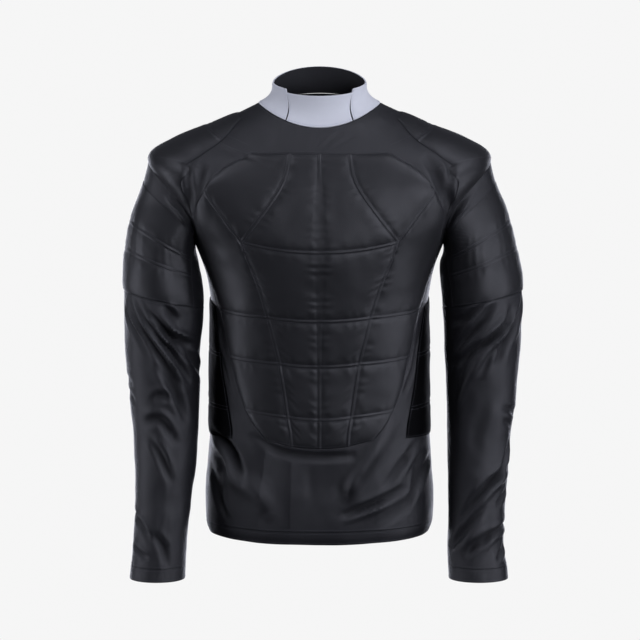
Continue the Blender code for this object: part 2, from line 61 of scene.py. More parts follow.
# The torso's form, one row for each ring from the neck down
Ring = namedtuple("Ring", "z_side z_front z_back half_width y_side y_front y_back square")
TORSO_RINGS = (
    Ring(0.000, -0.034, 0.012, 0.094, 0.004, -0.080, 0.066, 2.0),
    Ring(-0.030, -0.066, -0.028, 0.156, 0.008, -0.099, 0.094, 2.2),
    Ring(-0.0575, -0.098, -0.0625, 0.224, 0.010, -0.113, 0.110, 2.5),
    Ring(-0.089, -0.128, -0.104, 0.263, 0.012, -0.124, 0.120, 2.9),
    Ring(-0.150, -0.176, -0.160, 0.228, 0.014, -0.133, 0.124, 2.9),
    Ring(-0.214, -0.226, -0.218, 0.192, 0.018, -0.136, 0.122, 2.6),
    Ring(-0.300, -0.304, -0.300, 0.1685, 0.018, -0.128, 0.112, 2.5),
    Ring(-0.400, -0.400, -0.400, 0.1682, 0.012, -0.118, 0.100, 2.4),
    Ring(-0.500, -0.500, -0.500, 0.1695, 0.004, -0.114, 0.100, 2.4),
    Ring(-0.590, -0.590, -0.590, 0.177, 0.002, -0.114, 0.108, 2.4),
    Ring(-0.645, -0.649, -0.645, 0.176, 0.002, -0.112, 0.108, 2.4),
    Ring(-0.664, -0.6695, -0.664, 0.171, 0.002, -0.108, 0.104, 2.4),
)
TIP_RING, ARMPIT_RING, LAST_RING = 3.0, 5.0, 11.0
ANGLE_STEP, RING_STEP = 0.5, 0.04
HALVINGS = 30
SCOOP_FRONT, SCOOP_BACK, SCOOP_SHAPE = 32.0, 28.0, 0.5

# The sewn and quilted lines across the front, as in the solids
Line = namedtuple("Line", "centre_z channel_x channel_z edge_x edge_z trim side_ring back_trim")
LINES = (
    Line(None, 0.036, None, 0.070, None, 0.52, 0.00, 112.0),
    Line(-0.047, 0.042, -0.047, 0.090, -0.040, 0.50, 0.50, 106.0),
    Line(-0.072, 0.045, -0.072, 0.106, -0.071, 0.36, 1.20, 128.0),
    Line(-0.122, 0.058, -0.122, 0.147, -0.096, 0.28, 3.00, 122.0),
    Line(-0.218, 0.117, -0.2025, 0.1735, -0.1265, 0.40, 3.36, 126.0),
    Line(-0.247, 0.103, -0.242, 0.1870, -0.165, 0.50, 4.20, 124.0),
    Line(-0.277, 0.091, -0.272, 0.1815, -0.2150, 0.42, 5.00, 118.0),
    Line(-0.323, 0.077, -0.318, 0.1525, -0.312, 0.30, 6.00, 122.0),
    Line(-0.393, 0.060, -0.389, 0.1370, -0.383, 0.24, 6.80, 124.0),
    Line(-0.475, 0.048, -0.471, 0.1120, -0.4635, 0.27, 7.60, 126.0),
    Line(-0.5195, 0.043, -0.5165, 0.0805, -0.5070, 0.355, 8.12, 127.0),
    Line(None, 0.045, None, 0.095, None, 0.40, 10.00, 127.0),
    Line(None, 0.045, None, 0.095, None, 0.40, 11.00, 127.0),
)
(NECK, CAP_END, PAD_TOP, TIP, QUILT_1, UNDER_ARM, ARMPIT, QUILT_2, QUILT_3, QUILT_4, PAD_BOTTOM,
 HEM_SEAM, HEM_EDGE) = range(len(LINES))
CENTRE, CHANNEL, EDGE, TRIM, SIDE, BACK_SIDE, BACK_TRIM, BACK = range(8)
CORNERS = {"channel_x": QUILT_1, "edge_x": PAD_BOTTOM}
CENTRE_DIP, LEAST_BACK_TRIM = 1.6, 2.0

# Rows and columns of the torso's grid between its lines: how long the stretch is, in metres, and
# whether rows also crowd at its start and at its end, where a channel or seam is
Stretch = namedtuple("Stretch", "length at_start at_end")
CROWDED = (0.0012, 0.0026, 0.0042, 0.0068)
GRID_STEP = 0.0031
LINE_STRETCHES = (
    Stretch(0.022, True, False), Stretch(0.030, False, True), Stretch(0.050, True, False),
    Stretch(0.096, False, True), Stretch(0.060, True, False), Stretch(0.060, False, False),
    Stretch(0.084, False, True), Stretch(0.072, True, True), Stretch(0.082, True, True),
    Stretch(0.044, True, True), Stretch(0.132, True, True), Stretch(0.019, True, True),
)
COLUMN_STRETCHES = (
    Stretch(0.064, True, True), Stretch(0.064, True, True), Stretch(0.036, True, True),
    Stretch(0.036, True, True), Stretch(0.014, False, False), Stretch(0.040, True, True),
    Stretch(0.150, True, False),
)

# The sleeves' form, one row for each section
Section = namedtuple(
    "Section", "height lean half_depth forward right_x right_half left_x left_half")
SLEEVE_SECTIONS = (
    Section(-0.150, 54.0, 0.084, 0.004, 0.2255, 0.0740, 0.2255, 0.0740),
    Section(-0.186, 42.0, 0.078, -0.004, 0.2325, 0.0648, 0.2325, 0.0648),
    Section(-0.224, 26.0, 0.071, -0.012, 0.2378, 0.0605, 0.2395, 0.0621),
    Section(-0.298, 12.0, 0.067, -0.024, 0.2392, 0.0628, 0.2505, 0.0622),
    Section(-0.370, 4.0, 0.062, -0.028, 0.2415, 0.0580, 0.2510, 0.0590),
    Section(-0.450, 1.0, 0.058, -0.031, 0.2392, 0.0540, 0.2500, 0.0535),
    Section(-0.515, 0.0, 0.053, -0.038, 0.2368, 0.0500, 0.2458, 0.0485),
    Section(-0.568, 0.0, 0.049, -0.046, 0.2386, 0.0460, 0.2443, 0.0465),
    Section(-0.622, 0.0, 0.045, -0.055, 0.2418, 0.0428, 0.2426, 0.0437),
    Section(-0.671, 0.0, 0.042, -0.062, 0.2462, 0.0412, 0.2412, 0.0432),
    Section(-0.707, 0.0, 0.041, -0.067, 0.2482, 0.0422, 0.2436, 0.0448),
    Section(-0.7275, 0.0, 0.041, -0.070, 0.2493, 0.0428, 0.2449, 0.0455),
)
ELBOW_SEAM, CUFF_SEAM, CUFF_EDGE = 3.0, 10.0, 11.0
ARMHOLE_FADE, SLOPE_FADE = 2.6, 1.0
ARMHOLE_GAP = 0.0004
ARM_PAD_LINES = (0.6, 1.75, 2.3, 3.0)
ARM_PAD_FRONT, ARM_PAD_BACK = 142.0, -128.0
ARM_PAD_TAPER, ARM_PAD_ROUND = 0.045, 14.0
SLEEVE_COLUMNS = 118
ALL_ROUND = (-1.0, 181.0)
SLEEVE_STRETCHES = (
    (0.6, Stretch(0.036, True, True)), (1.75, Stretch(0.048, True, True)),
    (2.3, Stretch(0.036, True, True)), (3.0, Stretch(0.055, True, True)),
    (10.0, Stretch(0.420, True, True)), (11.0, Stretch(0.020, True, True)),
)

# Collar
SLIT_FOOT, SLIT_TOP, SLIT_GAP = 33.0, 45.0, 0.7
COLLAR_HALF_WIDTH, COLLAR_FRONT, COLLAR_BACK = 0.0725, -0.064, 0.060
COLLAR_TOPS = {"front": 0.0135, "front_end": 0.0180, "slit": 0.0235, "side": 0.0320, "back": 0.0540}
COLLAR_FLARE, COLLAR_LIFT, COLLAR_RISE = 3.2, 0.0015, 1.2
COLLAR_ROWS = 16
COLLAR_COLUMNS = {"front": 44, "back": 130}

# Quilted foam: its thickness at the pad's edge, how much it rises from there and how soon, the
# share of that rise which a sewn channel presses down, how soon the foam is full again beside it,
# and the channel's half width. CHANNEL_RIDGE is how far each channel's middle stands up between its
# two rows of stitches.
Foam = namedtuple("Foam", "base lift edge_reach dip reach half_channel")
CHEST_FOAM = Foam(0.0005, 0.0040, 0.0060, 0.42, 0.0042, 0.0026)
LIMB_FOAM = Foam(0.0008, 0.0034, 0.0080, 0.36, 0.0040, 0.0026)
CHANNEL_RIDGE = 0.0009

# Puckers beside a quilted channel: their depth, spacing and reach, and how far and how often their
# spacing wanders
PUCKER_DEPTH, PUCKER_SPACING, PUCKER_REACH = 0.0005, 0.0170, 0.0060
WANDER, WANDER_RATE = 1.9, 0.31

# The tape inside each side seam reaches this share of a column either way
TAPE_REACH = 0.12

# How far a seam is drawn down, and over what length a fold dies out before an armhole or neck seam
SEAM_DRAW = 0.0005
FOLD_FADE = 0.012

# Stitches: double rows along a quilted channel, and single rows beside a seam or an edge. Each one
# stands out by a share of its width.
CHANNEL_ROWS = (-0.0027, 0.0027)
TOP_STITCH = 0.0032
Stitch = namedtuple("Stitch", "length width pitch")
BODY_STITCH, COLLAR_STITCH = Stitch(0.0026, 0.00055, 0.0036), Stitch(0.0022, 0.0005, 0.0031)
STITCH_RISE = 0.2

# Limits: places that count as the same, the bluntest corner of a panel's edge, and the sharpest
# edge, in degrees, that is still shaded smooth
SAME_PLACE, SAME_POINT, CORNER_LIMIT = 1e-6, 0.0001, 0.5
SMOOTH_CLOTH, SMOOTH_STITCH = 50.0, 80.0

# Folds and creases. A path runs down the fold: x and z seen from the front or back on the torso,
# and degrees round it and z on a sleeve. A depth below 0 is a raised fold. ridge is the share of
# the depth that the cloth beside it rises by, on the side to the right of the path's run or, below
# 0, to the left, seen from outside.
Crease = namedtuple("Crease", "path half_width depth ridge")
FRONT_CREASES = (
    Crease(((-0.1604, -0.5058), (-0.1356, -0.5275), (-0.1186, -0.5693)), 0.0068, 0.0125, -0.6),
    Crease(((-0.1641, -0.5585), (-0.1573, -0.5941), (-0.1434, -0.6313)), 0.005, 0.0074, 0.4),
    Crease(((-0.154, -0.556), (-0.149, -0.61)), 0.004, 0.0032, 0.4),
    Crease(((-0.1511, -0.5616), (-0.0984, -0.5864), (-0.0767, -0.6174)), 0.015, -0.0062, 0.0),
    Crease(((-0.1555, -0.35), (-0.1511, -0.3787), (-0.1356, -0.4407)), 0.0038, 0.0032, 0.5),
    Crease(((-0.155, -0.335), (-0.148, -0.395), (-0.131, -0.455)), 0.0045, -0.0028, 0.0),
    Crease(((-0.098, -0.502), (-0.058, -0.5245), (0.0, -0.5315), (0.05, -0.53)),
           0.0048, 0.0056, 0.0),
    Crease(((0.1093, -0.4872), (0.0814, -0.5275), (0.0519, -0.5709), (0.049, -0.5895)),
           0.0125, -0.0086, 0.0),
    Crease(((0.07, -0.525), (0.038, -0.57), (0.03, -0.595)), 0.01, 0.003, 0.0),
    Crease(((0.152, -0.514), (0.1248, -0.5492), (0.104, -0.578)), 0.0048, 0.0086, 0.6),
    Crease(((0.159, -0.526), (0.15, -0.56), (0.142, -0.585)), 0.004, 0.0052, 0.4),
    Crease(((0.1713, -0.543), (0.1558, -0.5709), (0.1372, -0.609)), 0.0048, 0.0084, 0.5),
    Crease(((0.129, -0.584), (0.086, -0.605), (0.04, -0.622)), 0.0048, 0.0078, 0.5),
    Crease(((0.14, -0.606), (0.09, -0.638)), 0.008, 0.0022, 0.3),
    Crease(((-0.0147, -0.55), (-0.0147, -0.595)), 0.008, 0.0012, 0.0),
    Crease(((0.152, -0.355), (0.144, -0.4), (0.13, -0.435)), 0.004, 0.003, -0.5),
    Crease(((-0.196, -0.093), (-0.1945, -0.118), (-0.195, -0.148)), 0.0058, 0.005, 0.6),
    Crease(((-0.175, -0.085), (-0.18, -0.106), (-0.183, -0.133)), 0.0068, 0.0056, -0.6),
    Crease(((0.165, -0.082), (0.1775, -0.101), (0.1835, -0.123), (0.1865, -0.14)),
           0.0074, 0.0062, 0.5),
    Crease(((0.1965, -0.096), (0.195, -0.122), (0.1945, -0.15)), 0.0058, 0.0048, 0.6),
    Crease(((0.0008, -0.0665), (0.02, -0.05), (0.038, -0.0355)), 0.003, 0.0012, 0.4),
    Crease(((0.0163, -0.065), (0.04, -0.052), (0.0597, -0.0433)), 0.003, 0.0009, 0.4),
    Crease(((-0.15, -0.064), (-0.115, -0.076), (-0.065, -0.09)), 0.004, 0.0012, 0.3),
)
BACK_CREASES = (
    Crease(((-0.16, -0.49), (-0.125, -0.525), (-0.085, -0.545)), 0.007, 0.0052, 0.5),
    Crease(((-0.165, -0.54), (-0.135, -0.585), (-0.105, -0.612)), 0.0055, 0.0042, 0.4),
    Crease(((0.162, -0.482), (0.118, -0.518), (0.07, -0.533)), 0.007, 0.005, -0.5),
    Crease(((0.166, -0.53), (0.14, -0.576), (0.118, -0.618)), 0.005, 0.0042, 0.4),
    Crease(((0.095, -0.56), (0.03, -0.586), (-0.035, -0.576)), 0.0085, 0.0032, 0.3),
    Crease(((-0.07, -0.585), (-0.01, -0.616)), 0.007, 0.0028, -0.4),
    Crease(((-0.045, -0.37), (0.0, -0.395), (0.05, -0.378)), 0.013, 0.0034, 0.3),
    Crease(((-0.09, -0.425), (-0.035, -0.448), (0.025, -0.44)), 0.011, 0.0036, 0.4),
    Crease(((0.09, -0.45), (0.045, -0.48), (-0.015, -0.488)), 0.01, 0.0032, -0.4),
    Crease(((-0.1, -0.25), (-0.055, -0.3), (-0.025, -0.35)), 0.014, 0.003, 0.3),
    Crease(((0.105, -0.245), (0.06, -0.295), (0.02, -0.35)), 0.014, 0.0032, 0.3),
    Crease(((-0.195, -0.12), (-0.178, -0.15), (-0.15, -0.175)), 0.0055, 0.005, 0.6),
    Crease(((-0.19, -0.17), (-0.16, -0.198), (-0.125, -0.215)), 0.006, 0.0046, 0.5),
    Crease(((0.196, -0.118), (0.18, -0.146), (0.156, -0.172)), 0.0055, 0.005, -0.6),
    Crease(((0.188, -0.176), (0.156, -0.201), (0.12, -0.212)), 0.006, 0.0044, -0.5),
    Crease(((-0.162, -0.1), (-0.14, -0.135)), 0.0045, 0.003, 0.5),
    Crease(((0.164, -0.098), (0.145, -0.13)), 0.0045, 0.003, 0.5),
    Crease(((-0.035, -0.05), (0.0, -0.062), (0.038, -0.048)), 0.008, 0.002, 0.3),
)
RIGHT_SLEEVE_CREASES = (
    Crease(((68, -0.106), (83, -0.1252), (106, -0.16)), 0.0042, 0.0078, -0.7),
    Crease(((62, -0.12), (80, -0.14), (98, -0.16)), 0.005, 0.0034, 0.4),
    Crease(((14, -0.306), (40, -0.336), (72, -0.3754)), 0.0045, 0.0062, 0.5),
    Crease(((36, -0.305), (65, -0.3462), (92, -0.3843), (116, -0.424)), 0.0048, 0.0078, 0.6),
    Crease(((50, -0.3022), (81, -0.3456), (109, -0.3801), (138, -0.42)), 0.0046, 0.0078, 0.6),
    Crease(((66, -0.308), (95, -0.3378), (126, -0.384)), 0.0044, 0.007, 0.5),
    Crease(((80, -0.331), (108, -0.3521), (148, -0.368)), 0.005, 0.0076, 0.6),
    Crease(((94, -0.305), (112, -0.324)), 0.005, 0.0062, 0.5),
    Crease(((90, -0.398), (112, -0.4376), (128, -0.475)), 0.0065, 0.007, -0.5),
    Crease(((76, -0.4465), (92, -0.4417), (106, -0.45)), 0.0055, 0.0042, 0.5),
    Crease(((60, -0.4812), (85, -0.4804), (110, -0.512)), 0.006, 0.005, 0.5),
    Crease(((66, -0.511), (84, -0.5344), (103, -0.57)), 0.0055, 0.0045, 0.5),
    Crease(((0, -0.6235), (41, -0.6389), (68, -0.66)), 0.004, 0.0042, 0.5),
    Crease(((8, -0.67), (41, -0.6818), (64, -0.69)), 0.0035, 0.0036, 0.5),
    Crease(((78, -0.655), (100, -0.6725), (110, -0.7)), 0.006, 0.0042, 0.3),
    Crease(((2, -0.42), (32, -0.426)), 0.004, 0.0036, 0.4),
    Crease(((4, -0.44), (36, -0.453)), 0.0045, 0.0036, 0.4),
    Crease(((100, -0.34), (150, -0.39), (185, -0.415)), 0.006, 0.0056, 0.5),
    Crease(((-20, -0.32), (-60, -0.356), (-105, -0.376)), 0.006, 0.0053, 0.4),
    Crease(((-45, -0.38), (-95, -0.405), (-140, -0.4)), 0.0065, 0.0059, 0.5),
    Crease(((-30, -0.43), (-80, -0.448), (-125, -0.438)), 0.006, 0.0053, -0.4),
    Crease(((-60, -0.52), (-110, -0.556)), 0.006, 0.0042, 0.4),
    Crease(((-30, -0.61), (-85, -0.64), (-130, -0.636)), 0.005, 0.0045, 0.4),
    Crease(((-60, -0.115), (-85, -0.14), (-110, -0.162)), 0.0048, 0.0067, -0.6),
    Crease(((-70, -0.15), (-100, -0.182)), 0.006, 0.005, 0.4),
)
LEFT_SLEEVE_CREASES = (
    Crease(((66, -0.103), (79, -0.1253), (90, -0.14), (110, -0.16)), 0.0042, 0.0078, 0.7),
    Crease(((56, -0.096), (72, -0.1101), (82, -0.126)), 0.0035, 0.0048, 0.4),
    Crease(((62, -0.136), (84, -0.153), (112, -0.17)), 0.0048, 0.0062, -0.5),
    Crease(((6, -0.29), (38, -0.3361), (58, -0.362), (70, -0.39)), 0.006, 0.0081, -0.5),
    Crease(((49, -0.312), (56, -0.3297), (80, -0.3534), (108, -0.3753), (132, -0.406)),
           0.0046, 0.0084, -0.7),
    Crease(((64, -0.352), (95, -0.3874), (115, -0.4191), (134, -0.46)), 0.0075, -0.007, 0.0),
    Crease(((52, -0.3502), (77, -0.3721), (96, -0.404)), 0.0045, 0.0056, 0.4),
    Crease(((86, -0.322), (107, -0.3412), (132, -0.368)), 0.0046, 0.007, -0.6),
    Crease(((96, -0.305), (119, -0.3232), (140, -0.333)), 0.0044, 0.0062, 0.5),
    Crease(((76, -0.304), (90, -0.316), (106, -0.33)), 0.005, 0.0056, -0.5),
    Crease(((100, -0.356), (125, -0.386), (150, -0.402)), 0.005, 0.0062, 0.5),
    Crease(((50, -0.462), (10, -0.473)), 0.0042, 0.0045, 0.5),
    Crease(((48, -0.4822), (16, -0.4902)), 0.004, 0.0042, 0.5),
    Crease(((18, -0.518), (41, -0.5594), (66, -0.576)), 0.005, 0.0059, 0.5),
    Crease(((20, -0.556), (60, -0.5704), (87, -0.5911), (124, -0.63)), 0.0058, 0.0067, 0.6),
    Crease(((8, -0.59), (46, -0.609)), 0.0038, 0.0042, 0.4),
    Crease(((-6, -0.643), (54, -0.6535), (80, -0.67)), 0.0042, 0.0056, 0.5),
    Crease(((10, -0.674), (44, -0.692)), 0.0038, 0.0048, 0.5),
    Crease(((63, -0.6499), (97, -0.6724), (112, -0.686)), 0.0055, 0.005, -0.4),
    Crease(((84, -0.616), (119, -0.65), (150, -0.676)), 0.006, 0.0053, 0.4),
    Crease(((80, -0.44), (98, -0.49), (104, -0.54)), 0.013, 0.0034, 0.0),
    Crease(((-20, -0.316), (-62, -0.352), (-108, -0.37)), 0.006, 0.0056, 0.4),
    Crease(((-50, -0.376), (-96, -0.4), (-142, -0.396)), 0.0065, 0.0059, 0.5),
    Crease(((-28, -0.426), (-76, -0.446), (-120, -0.44)), 0.006, 0.005, -0.4),
    Crease(((-50, -0.526), (-105, -0.56)), 0.006, 0.0045, 0.4),
    Crease(((-25, -0.606), (-80, -0.634), (-128, -0.63)), 0.005, 0.0048, 0.4),
    Crease(((-58, -0.113), (-84, -0.139), (-108, -0.16)), 0.0048, 0.0067, 0.6),
    Crease(((-72, -0.148), (-102, -0.18)), 0.006, 0.005, 0.4),
)
# Lines of stitches on the plain cloth of the front, as x and z
SEWN_LINES = (
    ((-0.1573, -0.0536), (-0.1232, -0.0676), (-0.0612, -0.0862), (-0.0023, -0.0908)),
    ((0.1232, -0.2055), (0.145, -0.22), (0.1666, -0.2396)),
    ((0.1062, -0.0598), (0.1418, -0.0458), (0.1511, -0.0443)),
    ((-0.1062, -0.0598), (-0.1418, -0.0458), (-0.1511, -0.0443)),
)
SEWN_STEPS, CREASE_SAMPLES = 40, 48

# A crease's section, in half widths: where the cloth rises beside it and how far, on the ridge's
# side and on the other, whose rise is this share of the ridge's
RIDGE_PLACE, RIDGE_WIDTH = 1.7, 0.95
FAR_PLACE, FAR_WIDTH, FAR_SHARE = 1.8, 1.1, 0.4
# Along a crease the depth follows a sine to this power, with a little left at both ends
END_SHARE, END_SHAPE = 0.06, 0.7
# How far from its path a crease is worked out, in half widths, how deep all creases are cut against
# their tables, since smoothing takes some of it away, and the depth at which a fold gets its full
# painted shade in the knits' tone
CREASE_REACH, FOLD_DEPTH, HOLLOW_DEPTH = 4.0, 1.35, 0.0075

# Slow swells of the cloth, as size, depth and seed
Swell = namedtuple("Swell", "size depth seed")
TORSO_SWELLS = (Swell(0.055, 0.0016, 3.0), Swell(0.020, 0.0004, 9.0))
SLEEVE_SWELLS = (Swell(0.045, 0.0016, 5.0), Swell(0.018, 0.0004, 8.0))


# Camera at the photograph's angle: a little above, looking slightly down
LOOK_AT = Vector((0.0008, 0.0, -0.336))
CAMERA_HEIGHT, CAMERA_DISTANCE, VIEW_WIDTH = 7.0, 4.5, 0.992

# The studio: pale paper all round, and soft lights at an azimuth from the front, in degrees
# towards +X, and a height in degrees, each turned to the point that the camera looks at
PAPER, WORLD = 0.92, 0.035
LIGHT_COLOUR = (0.84, 0.86, 1.0)
ROOM_RADIUS, FLOOR_Z, ROOM_SEGMENTS = 9.0, -1.2, 48
Light = namedtuple("Light", "name azimuth height distance width tall power")
LIGHTS = (
    Light("key_light", 65.0, -4.0, 3.4, 1.8, 3.0, 58.0),
    Light("fill_light", -83.0, -4.0, 3.6, 1.4, 3.0, 66.0),
    Light("front_light", 26.0, 14.0, 4.2, 2.4, 2.2, 92.0),
    Light("upper_light_left", 66.0, 56.0, 3.2, 1.8, 1.6, 46.0),
    Light("upper_light_right", -62.0, 56.0, 3.2, 1.8, 1.6, 34.0),
    Light("back_light_left", 162.0, -6.0, 4.0, 2.2, 2.2, 66.0),
    Light("back_light_right", -156.0, -6.0, 4.0, 2.2, 2.2, 58.0),
)


def curve(values, position):
    """A smooth curve through evenly numbered values, at one position or an array of them."""
    values = np.asarray(values, float)
    slopes = np.gradient(values)
    position = np.asarray(position, float)
    i = np.clip(np.floor(position).astype(int), 0, len(values) - 2)
    f = position - i
    start, end = values[i], values[i + 1]
    bend = (2 * f**3 - 3 * f**2 + 1) * start + (3 * f**2 - 2 * f**3) * end
    return bend + (f**3 - 2 * f**2 + f) * slopes[i] + (f**3 - f**2) * slopes[i + 1]


def smooth_step(share):
    share = np.clip(share, 0.0, 1.0)
    return share * share * (3 - 2 * share)


def unit(vectors):
    return vectors / np.maximum(np.linalg.norm(vectors, axis=-1, keepdims=True), LEAST_LENGTH)


def ring_at(ring):
    return Ring(*(curve(column, ring) for column in zip(*TORSO_RINGS)))


def torso_point(angle, ring):
    """The torso form's points at angles from the front centre, in degrees, on rings."""
    r = ring_at(ring)
    across, along = np.sin(np.radians(angle)), np.cos(np.radians(angle))
    depth = np.where(along > 0, r.y_side - r.y_front, r.y_back - r.y_side)
    middle_z = np.where(along > 0, r.z_front, r.z_back)
    return np.stack([
        r.half_width * np.sign(across) * np.abs(across) ** (2 / r.square),
        r.y_side - depth * np.sign(along) * np.abs(along) ** (2 / r.square),
        r.z_side + (middle_z - r.z_side) * along**2,
    ], axis=-1)


def surface_normal(point_at, angle, ring):
    across = point_at(angle + ANGLE_STEP, ring) - point_at(angle - ANGLE_STEP, ring)
    down = point_at(angle, ring + RING_STEP) - point_at(angle, ring - RING_STEP)
    return unit(np.cross(down, across))


def torso_normal(angle, ring):
    return surface_normal(torso_point, angle, np.clip(ring, RING_STEP, LAST_RING - RING_STEP))


def angle_at(x, ring):
    r = ring_at(ring)
    share = np.minimum(np.abs(x) / r.half_width, 1.0)
    return np.sign(x) * np.degrees(np.arcsin(share ** (r.square / 2)))


def place_of(x, z, facing=1):
    """The angle and ring of the torso's point at x and z, in front (1) or at the back (-1)."""
    low, high = np.zeros_like(z), np.full_like(z, LAST_RING)

    def angle(ring):
        front = angle_at(x, ring)
        return front if facing > 0 else np.where(x < 0, -180.0, 180.0) - front

    for _ in range(HALVINGS):
        middle = (low + high) / 2
        above = torso_point(angle(middle), middle)[..., 2] > z
        low, high = np.where(above, middle, low), np.where(above, high, middle)
    return angle(low), low


def armhole_angle(ring, scoop):
    share = np.clip((ring - TIP_RING) / (ARMPIT_RING - TIP_RING), 0.0, 1.0)
    return 90.0 - scoop * np.sin(math.pi * share) ** SCOOP_SHAPE


def column_places(position):
    """Angles and rings of the eight named columns, at an array of places among the lines."""
    side_ring = np.clip(curve([line.side_ring for line in LINES], position), 0.0, LAST_RING)
    front_side = armhole_angle(side_ring, SCOOP_FRONT)
    back_side = 180.0 - armhole_angle(side_ring, SCOOP_BACK)

    def place(x_field, z_field):
        spots = []
        for line in LINES:
            x, z = getattr(line, x_field) if x_field else 0.0, getattr(line, z_field)
            if z is None:
                z = float(torso_point(angle_at(x, line.side_ring), line.side_ring)[2])
            spots.append((x, z))
        corner = CORNERS.get(x_field)
        if corner is None:
            return place_of(*(curve(axis, position) for axis in zip(*spots)))
        above, below = list(zip(*spots[:corner + 1])), list(zip(*spots[corner:]))
        return place_of(*(
            np.where(position < corner, curve(first, np.minimum(position, corner)),
                     curve(second, np.maximum(position - corner, 0.0)))
            for first, second in zip(above, below)))

    edge_angle, edge_ring = place("edge_x", "edge_z")
    trim = curve([line.trim for line in LINES], position)
    back_trim = curve([line.back_trim for line in LINES], position)
    places = [
        place(None, "centre_z"),
        place("channel_x", "channel_z"),
        (edge_angle, edge_ring),
        (edge_angle + (front_side - edge_angle) * trim, edge_ring + (side_ring - edge_ring) * trim),
        (front_side, side_ring),
        (back_side, side_ring),
        (np.maximum(back_trim, back_side + LEAST_BACK_TRIM), side_ring),
        (np.full_like(side_ring, 180.0), side_ring),
    ]
    return np.stack([a for a, _ in places]), np.stack([r for _, r in places])


def torso_places(lines, columns):
    """The angle and ring at every place of a grid of line and column positions."""
    angles, rings = column_places(np.asarray(lines, float))
    size = np.abs(columns)
    number = np.minimum(size.astype(int), BACK - 1)
    share = size - number
    bend = np.where(number == CENTRE, share**CENTRE_DIP, share)
    angle = angles[number].T + (angles[number + 1] - angles[number]).T * share
    ring = rings[number].T + (rings[number + 1] - rings[number]).T * bend
    return angle * np.where(columns < 0, -1.0, 1.0), ring


def section_at(position, side):
    word = "left" if side > 0 else "right"
    names = ("height", "lean", "half_depth", "forward", word + "_x", word + "_half")
    return [curve([getattr(s, name) for s in SLEEVE_SECTIONS], position) for name in names]


def armhole_place(around, side):
    middle, half = (TIP_RING + ARMPIT_RING) / 2, (ARMPIT_RING - TIP_RING) / 2
    ring = middle - half * np.cos(np.radians(around))
    in_front = np.sin(np.radians(around)) > 0
    angle = np.where(
        in_front, armhole_angle(ring, SCOOP_FRONT), 180.0 - armhole_angle(ring, SCOOP_BACK)
    )
    return side * angle, ring


def sleeve_section_point(around, position, side):
    height, lean, half_depth, forward, centre, half = section_at(position, side)
    across, along = np.cos(np.radians(around)), np.sin(np.radians(around))
    out = half * across * np.cos(np.radians(lean))
    up = half * across * np.sin(np.radians(lean))
    return np.stack([side * (centre + out), forward - half_depth * along, height + up], axis=-1)


def sleeve_point(around, position, side):
    """Points of a sleeve, which starts on the torso's armhole. 0 is its outer side, 90 front."""
    point = sleeve_section_point(around, position, side)
    fade = smooth_step(1.0 - position / ARMHOLE_FADE)[..., None]
    start = torso_point(*armhole_place(around, side))
    return point + (start - sleeve_section_point(around, 0.0 * position, side)) * fade


def sleeve_normal(around, position, side):
    position = np.maximum(position, RING_STEP)
    normal = -side * surface_normal(lambda a, p: sleeve_point(a, p, side), around, position)
    turn = smooth_step(1.0 - position / SLOPE_FADE) * (1 + np.cos(np.radians(around))) / 2
    start = torso_normal(*armhole_place(around, side))
    return unit(normal + (start - normal) * turn[..., None])


def stretch_shares(stretch):
    """Shares from 0 to 1 over a stretch, a grid step apart and closer at a channel or seam."""
    marks = [0.0]
    start = end = 0.0
    if stretch.at_start:
        marks += list(CROWDED)
        start = CROWDED[-1]
    if stretch.at_end:
        end = CROWDED[-1]
    steps = max(1, round((stretch.length - start - end) / GRID_STEP))
    marks += [start + (stretch.length - start - end) * k / steps for k in range(1, steps + 1)]
    if stretch.at_end:
        marks += [stretch.length - mark for mark in reversed(CROWDED[:-1])] + [stretch.length]
    return [mark / stretch.length for mark in marks]


def positions_over(stretches):
    positions = [0.0]
    for number, stretch in enumerate(stretches):
        positions += [number + share for share in stretch_shares(stretch)[1:]]
    return np.array(positions)


